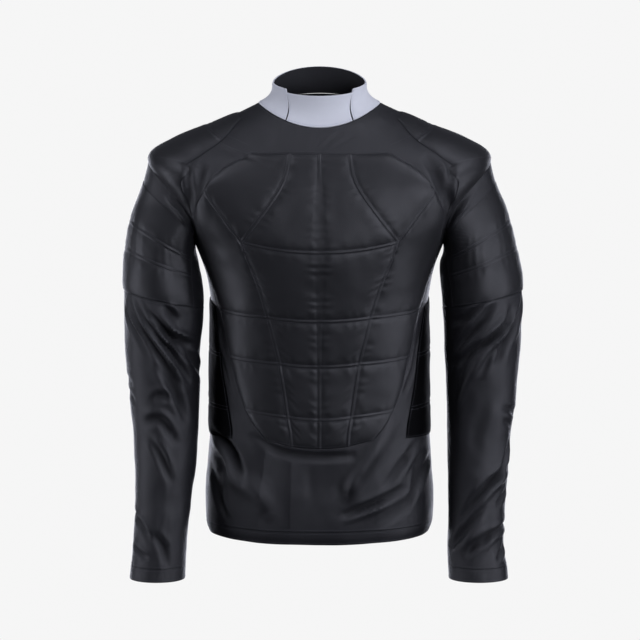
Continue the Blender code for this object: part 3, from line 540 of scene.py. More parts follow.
class Surface:
    """A grid of points and outward normals at row and column positions, with lengths along it."""

    def __init__(self, rows, columns, points, normals):
        self.rows, self.columns, self.points, self.normals = rows, columns, points, normals
        steps = np.linalg.norm(np.diff(points, axis=1), axis=-1)
        self.across = np.concatenate([np.zeros((len(rows), 1)), np.cumsum(steps, axis=1)], axis=1)
        middle = int(np.argmin(np.abs(columns)))
        self.across -= self.across[:, middle:middle + 1]
        steps = np.linalg.norm(np.diff(points, axis=0), axis=-1)
        self.down = np.concatenate([np.zeros((1, len(columns))), np.cumsum(steps, axis=0)], axis=0)
        # How deep the surface sinks in a fold, from 0 to 1, which paints shade into the knits' tone
        self.fold_shade = np.zeros_like(self.down)

    def raised(self, height):
        """The same surface, moved out by a height at each point and marked where that sinks it; the
        mark paints shade into folds.
        """
        points = self.points + self.normals * np.asarray(height)[..., None]
        moved = Surface(self.rows, self.columns, points, self.normals)
        moved.fold_shade = np.clip(-height / HOLLOW_DEPTH, 0.0, 1.0)
        return moved

    def from_row(self, row):
        """How far each point is from a row position, measured down its column."""
        i = np.interp(row, self.rows, np.arange(len(self.rows)))
        low = int(min(math.floor(i), len(self.rows) - 2))
        at = self.down[low] + (self.down[low + 1] - self.down[low]) * (i - low)
        return np.abs(self.down - at)

    def from_column(self, column):
        """How far each point is from a column position on its own side, along its row."""
        distances = []
        for sign in (-1, 1):
            i = np.interp(sign * column, self.columns, np.arange(len(self.columns)))
            low = int(min(math.floor(i), len(self.columns) - 2))
            at = self.across[:, low] + (self.across[:, low + 1] - self.across[:, low]) * (i - low)
            distances.append(np.abs(self.across - at[:, None]))
        return np.minimum(*distances)

    def at(self, rows, columns):
        """Points and normals at arrays of row and column positions."""
        i = np.interp(rows, self.rows, np.arange(len(self.rows)))
        j = np.interp(columns, self.columns, np.arange(len(self.columns)))
        a = np.minimum(i.astype(int), len(self.rows) - 2)
        b = np.minimum(j.astype(int), len(self.columns) - 2)
        u, v = (i - a)[:, None], (j - b)[:, None]

        def blend(grid):
            top = grid[a, b] * (1 - v) + grid[a, b + 1] * v
            low = grid[a + 1, b] * (1 - v) + grid[a + 1, b + 1] * v
            return top * (1 - u) + low * u

        return blend(self.points), unit(blend(self.normals))


def torso_surface():
    rows = positions_over(LINE_STRETCHES)
    half = positions_over(COLUMN_STRETCHES)
    columns = np.concatenate([-half[:0:-1], half])
    angles, rings = torso_places(rows, columns)
    return Surface(rows, columns, torso_point(angles, rings), torso_normal(angles, rings))


def sleeve_surface(side):
    rows, start = [0.0], 0.0
    for end, stretch in SLEEVE_STRETCHES:
        rows += [start + (end - start) * share for share in stretch_shares(stretch)[1:]]
        start = end
    rows = np.array(rows)
    columns = np.linspace(-180.0, 180.0, SLEEVE_COLUMNS + 1)
    around, position = np.meshgrid(columns, rows)
    points = sleeve_point(around, position, side)
    normals = sleeve_normal(around, position, side)
    points[0] += unit(points[1] - points[0]) * ARMHOLE_GAP
    return Surface(rows, columns, points, normals)


def smooth_path(points, count):
    """A smooth path through a few points, as an array of places along it."""
    knots = np.array(points, float)
    at = np.linspace(0.0, len(knots) - 1.0, count)
    return np.stack([curve(axis, at) for axis in knots.T], axis=-1)


def creased(surface, creases, place):
    """Heights of these creases over a surface, smoothed once over its grid. place gives the points
    of a path on the plain surface."""
    height = np.zeros_like(surface.down)
    for crease in creases:
        path = place(smooth_path(crease.path, CREASE_SAMPLES))
        run = unit(np.gradient(path, axis=0))
        reach = CREASE_REACH * crease.half_width
        low, high = path.min(0) - reach, path.max(0) + reach
        near = np.all((surface.points > low) & (surface.points < high), axis=-1)
        points, normals = surface.points[near], surface.normals[near]
        away = points[:, None] - path
        nearest = np.argmin((away**2).sum(-1), axis=1)
        away = away[np.arange(len(points)), nearest]
        aside = np.einsum("ij,ij->i", away, unit(np.cross(normals, run[nearest])))
        t = aside / crease.half_width
        share = nearest / (CREASE_SAMPLES - 1)
        past_end = np.einsum("ij,ij->i", away, run[nearest]) / crease.half_width
        fade = np.sin(math.pi * (END_SHARE + (1 - 2 * END_SHARE) * share)) ** END_SHAPE
        t *= math.copysign(1.0, crease.ridge)
        ridge = np.exp(-(((t - RIDGE_PLACE) / RIDGE_WIDTH) ** 2))
        ridge += FAR_SHARE * np.exp(-(((t + FAR_PLACE) / FAR_WIDTH) ** 2))
        section = abs(crease.ridge) * ridge - np.exp(-(t**2))
        height[near] += FOLD_DEPTH * crease.depth * fade * np.exp(-(past_end**2)) * section
    height[1:-1] = (height[:-2] + 2 * height[1:-1] + height[2:]) / 4
    height[:, 1:-1] = (height[:, :-2] + 2 * height[:, 1:-1] + height[:, 2:]) / 4
    return height


def on_torso(facing):
    def place(path):
        return torso_point(*place_of(path[:, 0], path[:, 1], facing))
    return place


def on_sleeve(side):
    """A crease's points from degrees round the sleeve and z, found down the sleeve by halving."""
    def place(path):
        around, z = path[:, 0], path[:, 1]
        low, high = np.zeros_like(z), np.full_like(z, CUFF_EDGE)
        for _ in range(HALVINGS):
            middle = (low + high) / 2
            above = sleeve_point(around, middle, side)[..., 2] > z
            low, high = np.where(above, middle, low), np.where(above, high, middle)
        return sleeve_point(around, low, side)
    return place


def unevenness(surface, swell):
    """Slow swells and hollows, so that no panel is perfectly smooth."""
    flat = (surface.points / swell.size).reshape(-1, 3)
    shift = Vector((swell.seed, 2.0 * swell.seed, 0.0))
    values = [noise.noise(Vector(point) + shift) for point in flat]
    return swell.depth * np.array(values).reshape(surface.down.shape)


def quilt(surface, row_edges, column_edges, rows, columns, foam):
    """Heights of quilted foam: thin at its edges, pressed down in its channels, with a low ridge
    between the two rows of stitches in each."""
    full = np.ones_like(surface.down)
    ridge = np.zeros_like(full)
    pucker = np.zeros_like(full)
    for distance in [surface.from_row(row) for row in row_edges] + [
            surface.from_column(column) for column in column_edges]:
        full *= 1 - np.exp(-distance / foam.edge_reach)
    channels = [(surface.from_row(row), surface.across) for row in rows]
    channels += [(surface.from_column(column), surface.down) for column in columns]
    for distance, along in channels:
        beside = np.maximum(distance - foam.half_channel, 0.0)
        full *= 1 - foam.dip * np.exp(-beside / foam.reach)
        ridge = np.maximum(ridge, 1 - (distance / foam.half_channel) ** 2)
        turn = along * (TURN / PUCKER_SPACING)
        fade = np.exp(-(((beside - PUCKER_REACH) / PUCKER_REACH) ** 2))
        pucker += fade * np.sin(turn + WANDER * np.sin(turn * WANDER_RATE))
    return (foam.base + foam.lift * full + CHANNEL_RIDGE * np.maximum(ridge, 0.0)
            + PUCKER_DEPTH * pucker * full)


def panel(name, surface, keep, low, high, material, gap=HALF_SEAM, sink=0.0):
    """One closed piece of cloth or foam over the cells of a surface that keep(row, column) names.

    low and high are its two faces' heights, as numbers or as arrays over the surface.
    """
    rows, columns = surface.rows, surface.columns
    row_mid, column_mid = (rows[1:] + rows[:-1]) / 2, (columns[1:] + columns[:-1]) / 2
    kept = keep(*np.meshgrid(row_mid, column_mid, indexing="ij"))
    used_rows, used_columns = np.flatnonzero(kept.any(1)), np.flatnonzero(kept.any(0))
    top, left = used_rows[0], used_columns[0]
    height, width = used_rows[-1] + 1 - top, used_columns[-1] + 1 - left
    low = np.broadcast_to(low, surface.down.shape)
    high = np.broadcast_to(high, surface.down.shape)

    bm = bmesh.new()
    bmesh.ops.create_grid(bm, x_segments=int(width), y_segments=int(height), size=1.0)
    outward = bm.verts.layers.float_vector.new("outward")
    lift = bm.verts.layers.float.new("lift")
    drop = bm.verts.layers.float.new("drop")
    # How deep each point's fold sinks, which the knits use to paint shade into folds
    fold_shade = bm.verts.layers.float.new("fold_shade")
    weave = bm.loops.layers.uv.new("weave")
    spare = []
    for face in bm.faces:
        middle = face.calc_center_median()
        if not kept[top + int((middle.y + 1) / 2 * height), left + int((middle.x + 1) / 2 * width)]:
            spare.append(face)
    places = {}
    for vert in bm.verts:
        row = top + round((vert.co.y + 1) / 2 * height)
        column = left + round((vert.co.x + 1) / 2 * width)
        places[vert] = (surface.across[row, column], -surface.down[row, column])
        vert[outward] = surface.normals[row, column]
        vert[lift], vert[drop] = high[row, column], low[row, column]
        vert[fold_shade] = surface.fold_shade[row, column]
        vert.co = surface.points[row, column]
    for face in bm.faces:
        for loop in face.loops:
            loop[weave].uv = places[loop.vert]
    bmesh.ops.delete(bm, geom=spare, context="FACES")
    bmesh.ops.remove_doubles(bm, verts=bm.verts, dist=SAME_POINT)
    draw_in_edges(bm, gap)
    if sink:
        for vert in bm.verts:
            if any(len(edge.link_faces) == 1 for edge in vert.link_edges):
                vert[lift] -= sink
    raised = bmesh.ops.extrude_face_region(bm, geom=bm.faces[:], use_keep_orig=True)
    lifted = {item for item in raised["geom"] if isinstance(item, bmesh.types.BMVert)}
    for vert in bm.verts:
        vert.co += vert[outward] * (vert[lift] if vert in lifted else vert[drop])
    bmesh.ops.recalc_face_normals(bm, faces=bm.faces)
    return finished(name, bm, material)


def draw_in_edges(bm, distance):
    """Moves a panel's open edges in along its surface, which leaves a gap at each seam."""
    moves = {}
    for edge in bm.edges:
        if len(edge.link_faces) != 1:
            continue
        a, b = edge.verts
        along = (b.co - a.co).normalized()
        inward = edge.link_faces[0].calc_center_median() - (a.co + b.co) / 2
        inward = (inward - along * inward.dot(along)).normalized()
        for vert in edge.verts:
            moves.setdefault(vert, []).append(inward)
    for vert, inwards in moves.items():
        total = sum(inwards, Vector()).normalized()
        vert.co += total * (distance / max(total.dot(inwards[0]), CORNER_LIMIT))


def placed(name, data):
    thing = bpy.data.objects.new(name, data)
    bpy.context.scene.collection.objects.link(thing)
    return thing


def finished(name, bm, material, smooth_to=SMOOTH_CLOTH):
    mesh = bpy.data.meshes.new(name)
    bm.to_mesh(mesh)
    bm.free()
    mesh.shade_smooth()
    mesh.set_sharp_from_angle(angle=math.radians(smooth_to))
    mesh.materials.append(material)
    piece = placed(name, mesh)
    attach(piece, "root")
    return piece


def within(*regions):
    """Tells which cells are in any region of (first row, last row, first column, last column)."""
    def keep(row, column):
        inside = np.zeros(row.shape, bool)
        for a, b, c, d in regions:
            inside |= (row > a) & (row < b) & (np.abs(column) > c) & (np.abs(column) < d)
        return inside
    return keep


def one_side(side, keep):
    return lambda row, column: keep(row, column) & (column * side > 0)


# Knits: noise through the object's space, to the metre, for the fibres and for slow changes of
# tone, what stitches, fibres and slow changes add to the tone, what makes the cloth duller, and
# the share of the relief that stitches and fibres take
KNIT_SCALES, PIERCED_SCALES, NOISE_DETAIL = (2600.0, 14.0), (2400.0, 12.0), 3.0
STITCH_TONE, FIBRE_TONE, SLOW_TONE = 0.5, 0.3, 0.35
PIERCED_FIBRE_TONE, PIERCED_SLOW_TONE = 0.4, 0.6
SLOW_DULLNESS, GROUND_DULLNESS, HOLE_DULLNESS, FOLD_DULLNESS = 0.10, 0.05, 0.15, 0.5
STITCH_HEIGHT, FIBRE_HEIGHT = 0.8, 0.2
# How far a loop bends with its wale, and how much of the tone the painted shade takes away deep in a
# fold, which also sets how much duller the cloth gets there
LOOP_BEND, FULL_FOLD_SHADE = 1.6, 0.9
THREAD_TONE_SCALE, THREAD_PLY_SCALE, THREAD_DETAIL, THREAD_PLY = 900.0, 3000.0, 2.0, 0.0001


class Wire:
    """A socket's value. Adding, multiplying and so on put in the Math nodes."""

    def __init__(self, finish, socket):
        self.finish, self.socket = finish, socket

    def math(self, operation, *values):
        return self.finish.make("ShaderNodeMath", {"operation": operation}, dict(enumerate(values)))

    def __add__(self, other):
        return self.math("ADD", self, other)

    def __sub__(self, other):
        return self.math("SUBTRACT", self, other)

    def __rsub__(self, other):
        return self.math("SUBTRACT", other, self)

    def __mul__(self, other):
        return self.math("MULTIPLY", self, other)

    __radd__ = __add__
    __rmul__ = __mul__

    def wave(self):
        return self.math("SINE", self)

    def size(self):
        return self.math("ABSOLUTE", self)

    def between(self, low, high):
        """0 at low, 1 at high and smooth between them."""
        settings = {"interpolation_type": "SMOOTHSTEP"}
        return self.finish.make("ShaderNodeMapRange", settings, {0: self, 1: low, 2: high})


class Finish:
    """A material whose nodes are added one by one in front of its shader."""

    def __init__(self, name, **constants):
        self.material = bpy.data.materials.new(name)
        self.material.use_nodes = True
        self.tree = self.material.node_tree
        self.shader = self.tree.nodes["Principled BSDF"]
        for socket, value in constants.items():
            self.shader.inputs[socket.replace("_", " ")].default_value = value

    def make(self, kind, settings=None, sockets=None, output=0):
        node = self.tree.nodes.new(kind)
        for name, value in (settings or {}).items():
            setattr(node, name, value)
        for name, value in (sockets or {}).items():
            self.join(value, node.inputs[name])
        return Wire(self, node.outputs[output])

    def join(self, value, socket):
        if isinstance(value, Wire):
            self.tree.links.new(value.socket, socket)
        else:
            socket.default_value = value

    def feed(self, socket, value):
        self.join(value, self.shader.inputs[socket])

    def along(self):
        """Metres across and along the cloth, as the weave UV map holds them."""
        uv = self.make("ShaderNodeUVMap", {"uv_map": "weave"})
        split = {"Vector": uv}
        return (self.make("ShaderNodeSeparateXYZ", None, split, "X"),
                self.make("ShaderNodeSeparateXYZ", None, split, "Y"))

    def speckle(self, scale, detail):
        """Noise from 0 to 1 through the object's own space, scale to the metre."""
        place = self.make("ShaderNodeTexCoord", output="Object")
        sockets = {"Vector": place, "Scale": scale, "Detail": detail}
        return self.make("ShaderNodeTexNoise", None, sockets, "Fac")

    def unshaded_share(self):
        """1 on open cloth and near 0 deep in a fold: painted shade, which darkens the tone there and
        also makes the cloth duller.
        """
        sunk = self.make("ShaderNodeAttribute", {"attribute_name": "fold_shade"}, None, "Fac")
        return 1.0 - sunk * FULL_FOLD_SHADE

    def tint(self, share, first, second):
        sockets = {0: share, 6: (*first, 1.0), 7: (*second, 1.0)}
        return self.make("ShaderNodeMix", {"data_type": "RGBA"}, sockets, 2)

    def emboss(self, height, depth):
        relief = {"Height": height, "Distance": depth}
        self.feed("Normal", self.make("ShaderNodeBump", None, relief))


def knit(name, light, dark, roughness, wale, course, depth, **constants):
    """A weft knit: rows of loops across, wales along, with fibre and slow changes of tone, and
    painted shade deep in folds.
    """
    cloth = Finish(name, **constants)
    across, along = cloth.along()
    wale_wave = (across * (TURN / wale)).wave()
    course_wave = (along * (TURN / course) + wale_wave.size() * LOOP_BEND).wave()
    stitch = (wale_wave * 0.5 + 0.5) * (course_wave * 0.5 + 0.5)
    fibre, slow = (cloth.speckle(scale, NOISE_DETAIL) for scale in KNIT_SCALES)
    unshaded_share = cloth.unshaded_share()
    # Painted shade: the tone darkens deep in folds, as far as the fold mark says
    cover = (stitch * STITCH_TONE + fibre * FIBRE_TONE + slow * SLOW_TONE) * unshaded_share
    cloth.feed("Base Color", cloth.tint(cover, dark, light))
    dullness = slow * SLOW_DULLNESS + (1.0 - stitch) * GROUND_DULLNESS
    dullness += (1.0 - unshaded_share) * FOLD_DULLNESS
    cloth.feed("Roughness", dullness + (roughness - SLOW_DULLNESS / 2))
    cloth.emboss(stitch * STITCH_HEIGHT + fibre * FIBRE_HEIGHT, depth)
    return cloth.material


def pierced_knit(name, light, dark, roughness, pitch, hole, depth, **constants):
    """A knit with rows of small holes, each row set half a pitch aside from the last."""
    cloth = Finish(name, **constants)
    across, along = cloth.along()
    first = (across * (TURN / pitch)).wave() * (along * (TURN / pitch)).wave()
    ground = first.between(1.0 - hole, 1.0)
    fibre, slow = (cloth.speckle(scale, NOISE_DETAIL) for scale in PIERCED_SCALES)
    cover = (1.0 - ground) * (fibre * PIERCED_FIBRE_TONE + slow * PIERCED_SLOW_TONE)
    cloth.feed("Base Color", cloth.tint(cover, dark, light))
    dullness = slow * SLOW_DULLNESS + ground * HOLE_DULLNESS
    cloth.feed("Roughness", dullness + (roughness - SLOW_DULLNESS / 2))
    cloth.emboss((1.0 - ground) * STITCH_HEIGHT + fibre * FIBRE_HEIGHT, depth)
    return cloth.material


def thread(name, dark, light, roughness):
    cotton = Finish(name, Roughness=roughness)
    tone = cotton.speckle(THREAD_TONE_SCALE, THREAD_DETAIL)
    cotton.feed("Base Color", cotton.tint(tone, dark, light))
    cotton.emboss(cotton.speckle(THREAD_PLY_SCALE, THREAD_DETAIL), THREAD_PLY)
    return cotton.material


STRETCH_KNIT = knit(
    "stretch_knit", (0.0085, 0.0085, 0.0105), (0.0040, 0.0040, 0.0050), 0.44,
    0.0009, 0.0007, 0.00012, Specular_IOR_Level=0.42, Sheen_Weight=0.03, Sheen_Roughness=0.4)
QUILTED_KNIT = pierced_knit(
    "quilted_knit", (0.0085, 0.0085, 0.0100), (0.0035, 0.0035, 0.0042), 0.48,
    0.0026, 0.35, 0.00020, Specular_IOR_Level=0.42, Sheen_Weight=0.03, Sheen_Roughness=0.45)
# The rib mesh is black cloth whose tone is set far darker than the other black knits to match the
# deep shade at the torso's sides: partly its own colour, partly painted shade
RIB_MESH_AND_SIDE_SHADE = pierced_knit(
    "rib_mesh_and_side_shade", (0.0006, 0.0006, 0.0009), (0.0002, 0.0002, 0.0003), 0.70,
    0.0034, 0.60, 0.00035, Specular_IOR_Level=0.05, Sheen_Weight=0.004, Sheen_Roughness=0.5)
COLLAR_KNIT = knit(
    "collar_knit", (0.60, 0.61, 0.63), (0.44, 0.45, 0.465), 0.78,
    0.0011, 0.0008, 0.00015, Sheen_Weight=0.15, Sheen_Roughness=0.5)
COLLAR_LINING = knit(
    "collar_lining", (0.0050, 0.0050, 0.0068), (0.0022, 0.0022, 0.0030), 0.80,
    0.0010, 0.0010, 0.00012)
THREAD = thread("sewing_thread", (0.030, 0.030, 0.036), (0.055, 0.055, 0.064), 0.5)
GREY_THREAD = thread("collar_thread", (0.30, 0.32, 0.39), (0.46, 0.48, 0.56), 0.6)


class Stitching:
    """Rows of stitches on one part of the vest, each stitch a small bead of thread."""

    def __init__(self, name, material=THREAD, stitch=BODY_STITCH):
        self.name, self.material, self.stitch = name, material, stitch
        self.all_rows = bmesh.new()

    def sew(self, points, normals):
        """Stitches along a path of points."""
        length, width, pitch = self.stitch
        steps = np.linalg.norm(np.diff(points, axis=0), axis=1)
        lengths = np.concatenate([[0.0], np.cumsum(steps)])
        count = int(lengths[-1] / pitch)
        places = (np.arange(count) + 0.5) * lengths[-1] / max(count, 1)
        row = bmesh.new()

        def along(values, at):
            return np.stack([np.interp(at, lengths, axis) for axis in values.T], axis=-1)

        middles, ends = along(points, places), along(points, places + pitch / 4)
        for middle, out, end in zip(middles, unit(along(normals, places)), ends):
            run = Vector(end - middle).normalized()
            up = Vector(out)
            side = up.cross(run).normalized()
            turn = Matrix((run * length / 2, side * width / 2, up * width / 2)).transposed()
            raised = Matrix.Translation(Vector(middle) + up * width * STITCH_RISE)
            bmesh.ops.create_icosphere(
                row, subdivisions=1, radius=1.0, matrix=raised @ turn.to_4x4())
        mesh = bpy.data.meshes.new("row")
        row.to_mesh(mesh)
        row.free()
        self.all_rows.from_mesh(mesh)
        bpy.data.meshes.remove(mesh)

    def across(self, surface, row, first, last, beside):
        """Stitches along a row of a surface, a distance below it."""
        self.sew(*surface.at(*row_path(surface, row, first, last, beside)))

    def down(self, surface, column, first, last, beside):
        """Stitches down a column of a surface, a distance to the side of it where columns rise."""
        self.sew(*surface.at(*column_path(surface, column, first, last, beside)))

    def inside(self, surface, rows, columns):
        """Stitches all round a pad or band, just inside its edges."""
        for row, beside in zip(rows, (TOP_STITCH, -TOP_STITCH)):
            self.across(surface, row, *columns, beside)
        for column, beside in zip(columns, (TOP_STITCH, -TOP_STITCH)):
            self.down(surface, column, *rows, beside)

    def piece(self):
        bmesh.ops.recalc_face_normals(self.all_rows, faces=self.all_rows.faces)
        return finished(self.name, self.all_rows, self.material, SMOOTH_STITCH)


def between(places, first, last):
    return np.flatnonzero((places >= first - SAME_PLACE) & (places <= last + SAME_PLACE))


def row_path(surface, row, first, last, beside):
    """Row and column positions a distance below a row."""
    picked = between(surface.columns, first, last)
    rows = []
    for j in picked:
        down = surface.down[:, j]
        rows.append(np.interp(np.interp(row, surface.rows, down) + beside, down, surface.rows))
    return np.array(rows), surface.columns[picked]


def column_path(surface, column, first, last, beside):
    """Row and column positions a distance beside a column, towards higher columns."""
    picked = between(surface.rows, first, last)
    columns = []
    for i in picked:
        across = surface.across[i]
        at = np.interp(column, surface.columns, across) + beside
        columns.append(np.interp(at, across, surface.columns))
    return surface.rows[picked], np.array(columns)


def above_form(plain, height, path):
    """The points and normals of creased cloth over points of the plain form."""
    gaps = ((plain.points.reshape(-1, 1, 3) - path) ** 2).sum(-1)
    nearest = np.argmin(gaps, axis=0)
    normals = plain.normals.reshape(-1, 3)[nearest]
    return path + normals * height.reshape(-1)[nearest][:, None], normals


def torso_heights(plain):
    """The torso's folds, which die out at the armholes and the neck seam."""
    height = creased(plain, FRONT_CREASES, on_torso(1)) + creased(plain, BACK_CREASES, on_torso(-1))
    height += sum(unevenness(plain, swell) for swell in TORSO_SWELLS)
    to_armhole = np.minimum(plain.from_column(SIDE), plain.from_column(BACK_SIDE))
    below_armhole = smooth_step(plain.rows - ARMPIT)[:, None]
    height *= np.maximum(smooth_step(to_armhole / FOLD_FADE), below_armhole)
    return height * smooth_step(plain.down / FOLD_FADE)


def shoulder_foam(surface, foam):
    """The shoulder pad's foam, whose front runs on below the tip beside the armhole."""
    front = quilt(surface, (CAP_END, UNDER_ARM), (TRIM,), (PAD_TOP,), (), LIMB_FOAM)
    to_side = smooth_step((np.abs(surface.columns) - TRIM) / (SIDE - TRIM))[None, :]
    below_tip = (surface.rows > TIP)[:, None]
    behind = np.where(below_tip, LIMB_FOAM.base, foam)
    return front * (1 - to_side) + behind * to_side


def plain_cloth(name, surface, *regions):
    return panel(name, surface, within(*regions), -FABRIC, 0.0, STRETCH_KNIT, sink=SEAM_DRAW)


def turned_band(name, surface, region):
    """A hem or cuff: cloth turned in, and so twice as thick."""
    return panel(name, surface, within(region), -2 * FABRIC, 0.0, STRETCH_KNIT)


def make_torso():
    plain = torso_surface()
    folds = torso_heights(plain)
    surface = plain.raised(folds)
    pad_rows = (PAD_TOP, QUILT_1, QUILT_2, QUILT_3, QUILT_4, PAD_BOTTOM)
    chest = quilt(
        surface, (PAD_TOP, PAD_BOTTOM), (EDGE,), pad_rows[1:-1], (CENTRE, CHANNEL), CHEST_FOAM)
    pieces = {
        "neck_yoke": plain_cloth(
            "yoke_cloth", surface, (NECK, PAD_TOP, CENTRE, SIDE), (PAD_TOP, ARMPIT, EDGE, SIDE)),
        "chest_pad": panel(
            "chest_quilting", surface, within((PAD_TOP, PAD_BOTTOM, CENTRE, EDGE)),
            -FABRIC, chest, QUILTED_KNIT),
        "front_panel": plain_cloth(
            "front_cloth", surface, (ARMPIT, HEM_SEAM, EDGE, SIDE),
            (PAD_BOTTOM, HEM_SEAM, CENTRE, EDGE)),
        "back_panel": plain_cloth("back_cloth", surface, (NECK, HEM_SEAM, BACK_SIDE, BACK)),
        "hem_band": turned_band("hem_cloth", surface, (HEM_SEAM, HEM_EDGE, CENTRE, BACK)),
        "side_seam_tape": panel(
            "side_seam_tape", surface,
            within((ARMPIT, HEM_SEAM, SIDE - TAPE_REACH, BACK_SIDE + TAPE_REACH)),
            -FABRIC - UNDER_PAD - TAPE, -FABRIC - UNDER_PAD, STRETCH_KNIT),
    }

    chest_rows = Stitching("chest_stitching")
    padded = surface.raised(chest)
    for beside in CHANNEL_ROWS:
        for row in pad_rows[1:-1]:
            chest_rows.across(padded, row, -EDGE, EDGE, beside)
        for column in (-CHANNEL, CHANNEL):
            chest_rows.down(padded, column, PAD_TOP, PAD_BOTTOM, beside)
    chest_rows.inside(padded, (PAD_TOP, PAD_BOTTOM), (-EDGE, EDGE))
    pieces["chest_stitching"] = chest_rows.piece()

    cloth_rows = Stitching("body_stitching")
    for row, reach, beside in (
        (NECK, BACK, TOP_STITCH), (PAD_TOP, EDGE, -TOP_STITCH),
        (HEM_SEAM, BACK, TOP_STITCH), (HEM_SEAM, BACK, -TOP_STITCH),
        (HEM_EDGE, BACK, -TOP_STITCH), (PAD_BOTTOM, EDGE, TOP_STITCH),
    ):
        cloth_rows.across(surface, row, -reach, reach, beside)
    for side in (-1, 1):
        for column, first, last, beside in (
            (EDGE, PAD_TOP, PAD_BOTTOM, TOP_STITCH), (SIDE, TIP, ARMPIT, -TOP_STITCH),
            (BACK_SIDE, TIP, ARMPIT, TOP_STITCH), (BACK_SIDE, ARMPIT, HEM_SEAM, TOP_STITCH),
        ):
            cloth_rows.down(surface, side * column, first, last, side * beside)
        cloth_rows.across(surface, ARMPIT, *sorted((side * EDGE, side * SIDE)), TOP_STITCH)
    for path in SEWN_LINES:
        cloth_rows.sew(*above_form(plain, folds, on_torso(1)(smooth_path(path, SEWN_STEPS))))
    pieces["body_stitching"] = cloth_rows.piece()

    for word, side in (("left", 1), ("right", -1)):
        rows = Stitching("pad_stitching_" + word)
        shoulder_lines, rib_lines = (CAP_END, PAD_TOP, TIP), (QUILT_2, QUILT_3, QUILT_4, PAD_BOTTOM)
        for pad, lines, material in (
            ("shoulder", shoulder_lines, QUILTED_KNIT), ("rib", rib_lines, RIB_MESH_AND_SIDE_SHADE),
        ):
            foam = quilt(
                surface, (lines[0], lines[-1]), (TRIM, BACK_TRIM), lines[1:-1], (), LIMB_FOAM)
            regions = [(lines[0], lines[-1], TRIM, BACK_TRIM)]
            if pad == "shoulder":
                regions.append((TIP, UNDER_ARM, TRIM, SIDE))
                foam = shoulder_foam(surface, foam)
            pieces[pad + "_pad_" + word] = panel(
                pad + "_quilting_" + word, surface, one_side(side, within(*regions)),
                UNDER_PAD, foam, material, PAD_MARGIN)
            top = surface.raised(foam)
            ends = sorted((side * TRIM, side * BACK_TRIM))
            for beside in CHANNEL_ROWS:
                for line in lines[1:-1]:
                    rows.across(top, line, *ends, beside)
            rows.inside(top, (lines[0], lines[-1]), ends)
        pieces["pad_stitching_" + word] = rows.piece()
    return pieces


def make_sleeve(word, side):
    plain = sleeve_surface(side)
    creases = LEFT_SLEEVE_CREASES if side > 0 else RIGHT_SLEEVE_CREASES
    folds = creased(plain, creases, on_sleeve(side))
    broad, fine = SLEEVE_SWELLS
    folds += unevenness(plain, broad._replace(seed=broad.seed + side)) + unevenness(plain, fine)
    folds *= smooth_step(plain.down / FOLD_FADE)
    folds[:, -1] = folds[:, 0] = (folds[:, 0] + folds[:, -1]) / 2
    surface = plain.raised(folds)
    around = np.broadcast_to(surface.columns, surface.down.shape)
    first, last = ARM_PAD_LINES[0], ARM_PAD_LINES[-1]

    def on_pad(row, column):
        return (row > first) & (row < last) & (column > ARM_PAD_BACK) & (column < ARM_PAD_FRONT)

    foam = quilt(surface, (last,), (), ARM_PAD_LINES[1:-1], (), LIMB_FOAM)
    thin_top = smooth_step(surface.from_row(first) / ARM_PAD_TAPER)
    foam = LIMB_FOAM.base + (foam - LIMB_FOAM.base) * thin_top
    ends = np.minimum(ARM_PAD_FRONT - around, around - ARM_PAD_BACK)
    foam = LIMB_FOAM.base + (foam - LIMB_FOAM.base) * smooth_step(ends / ARM_PAD_ROUND)
    pieces = {
        "sleeve_upper_" + word: plain_cloth(
            "upper_sleeve_" + word, surface, (0.0, ELBOW_SEAM, *ALL_ROUND)),
        "arm_pad_" + word: panel(
            "arm_quilting_" + word, surface, on_pad, UNDER_PAD, foam, QUILTED_KNIT, PAD_MARGIN),
        "sleeve_lower_" + word: plain_cloth(
            "lower_sleeve_" + word, surface, (ELBOW_SEAM, CUFF_SEAM, *ALL_ROUND)),
        "cuff_" + word: turned_band(
            "cuff_cloth_" + word, surface, (CUFF_SEAM, CUFF_EDGE, *ALL_ROUND)),
    }

    rows = Stitching("sleeve_stitching_" + word)
    for line, beside in (
        (0.0, TOP_STITCH), (ELBOW_SEAM, TOP_STITCH), (CUFF_SEAM, -TOP_STITCH),
        (CUFF_SEAM, TOP_STITCH), (CUFF_EDGE, -TOP_STITCH),
    ):
        rows.across(surface, line, -180.0, 180.0, beside)
    top = surface.raised(foam)
    for line in ARM_PAD_LINES[1:-1]:
        for beside in CHANNEL_ROWS:
            rows.across(top, line, ARM_PAD_BACK, ARM_PAD_FRONT, beside)
    rows.across(top, last, ARM_PAD_BACK, ARM_PAD_FRONT, -TOP_STITCH)
    rows.down(top, ARM_PAD_BACK, first, last, TOP_STITCH)
    rows.down(top, ARM_PAD_FRONT, first, last, -TOP_STITCH)
    pieces["sleeve_stitching_" + word] = rows.piece()
    return pieces


def collar_point(angle, share, top_z):
    """The collar's points between the neck seam and its top, where it leans in."""
    foot = torso_point(angle, 0.0 * angle) + np.array([0.0, 0.0, COLLAR_LIFT])
    across, along = np.sin(np.radians(angle)), np.cos(np.radians(angle))
    depth = np.where(along > 0, -COLLAR_FRONT, COLLAR_BACK)
    top = np.stack([COLLAR_HALF_WIDTH * across, -depth * along, top_z], axis=-1)
    lean = 1 - (1 - share) ** COLLAR_FLARE
    mix = np.stack([lean, lean, share], axis=-1)
    return foot + (top - foot) * mix


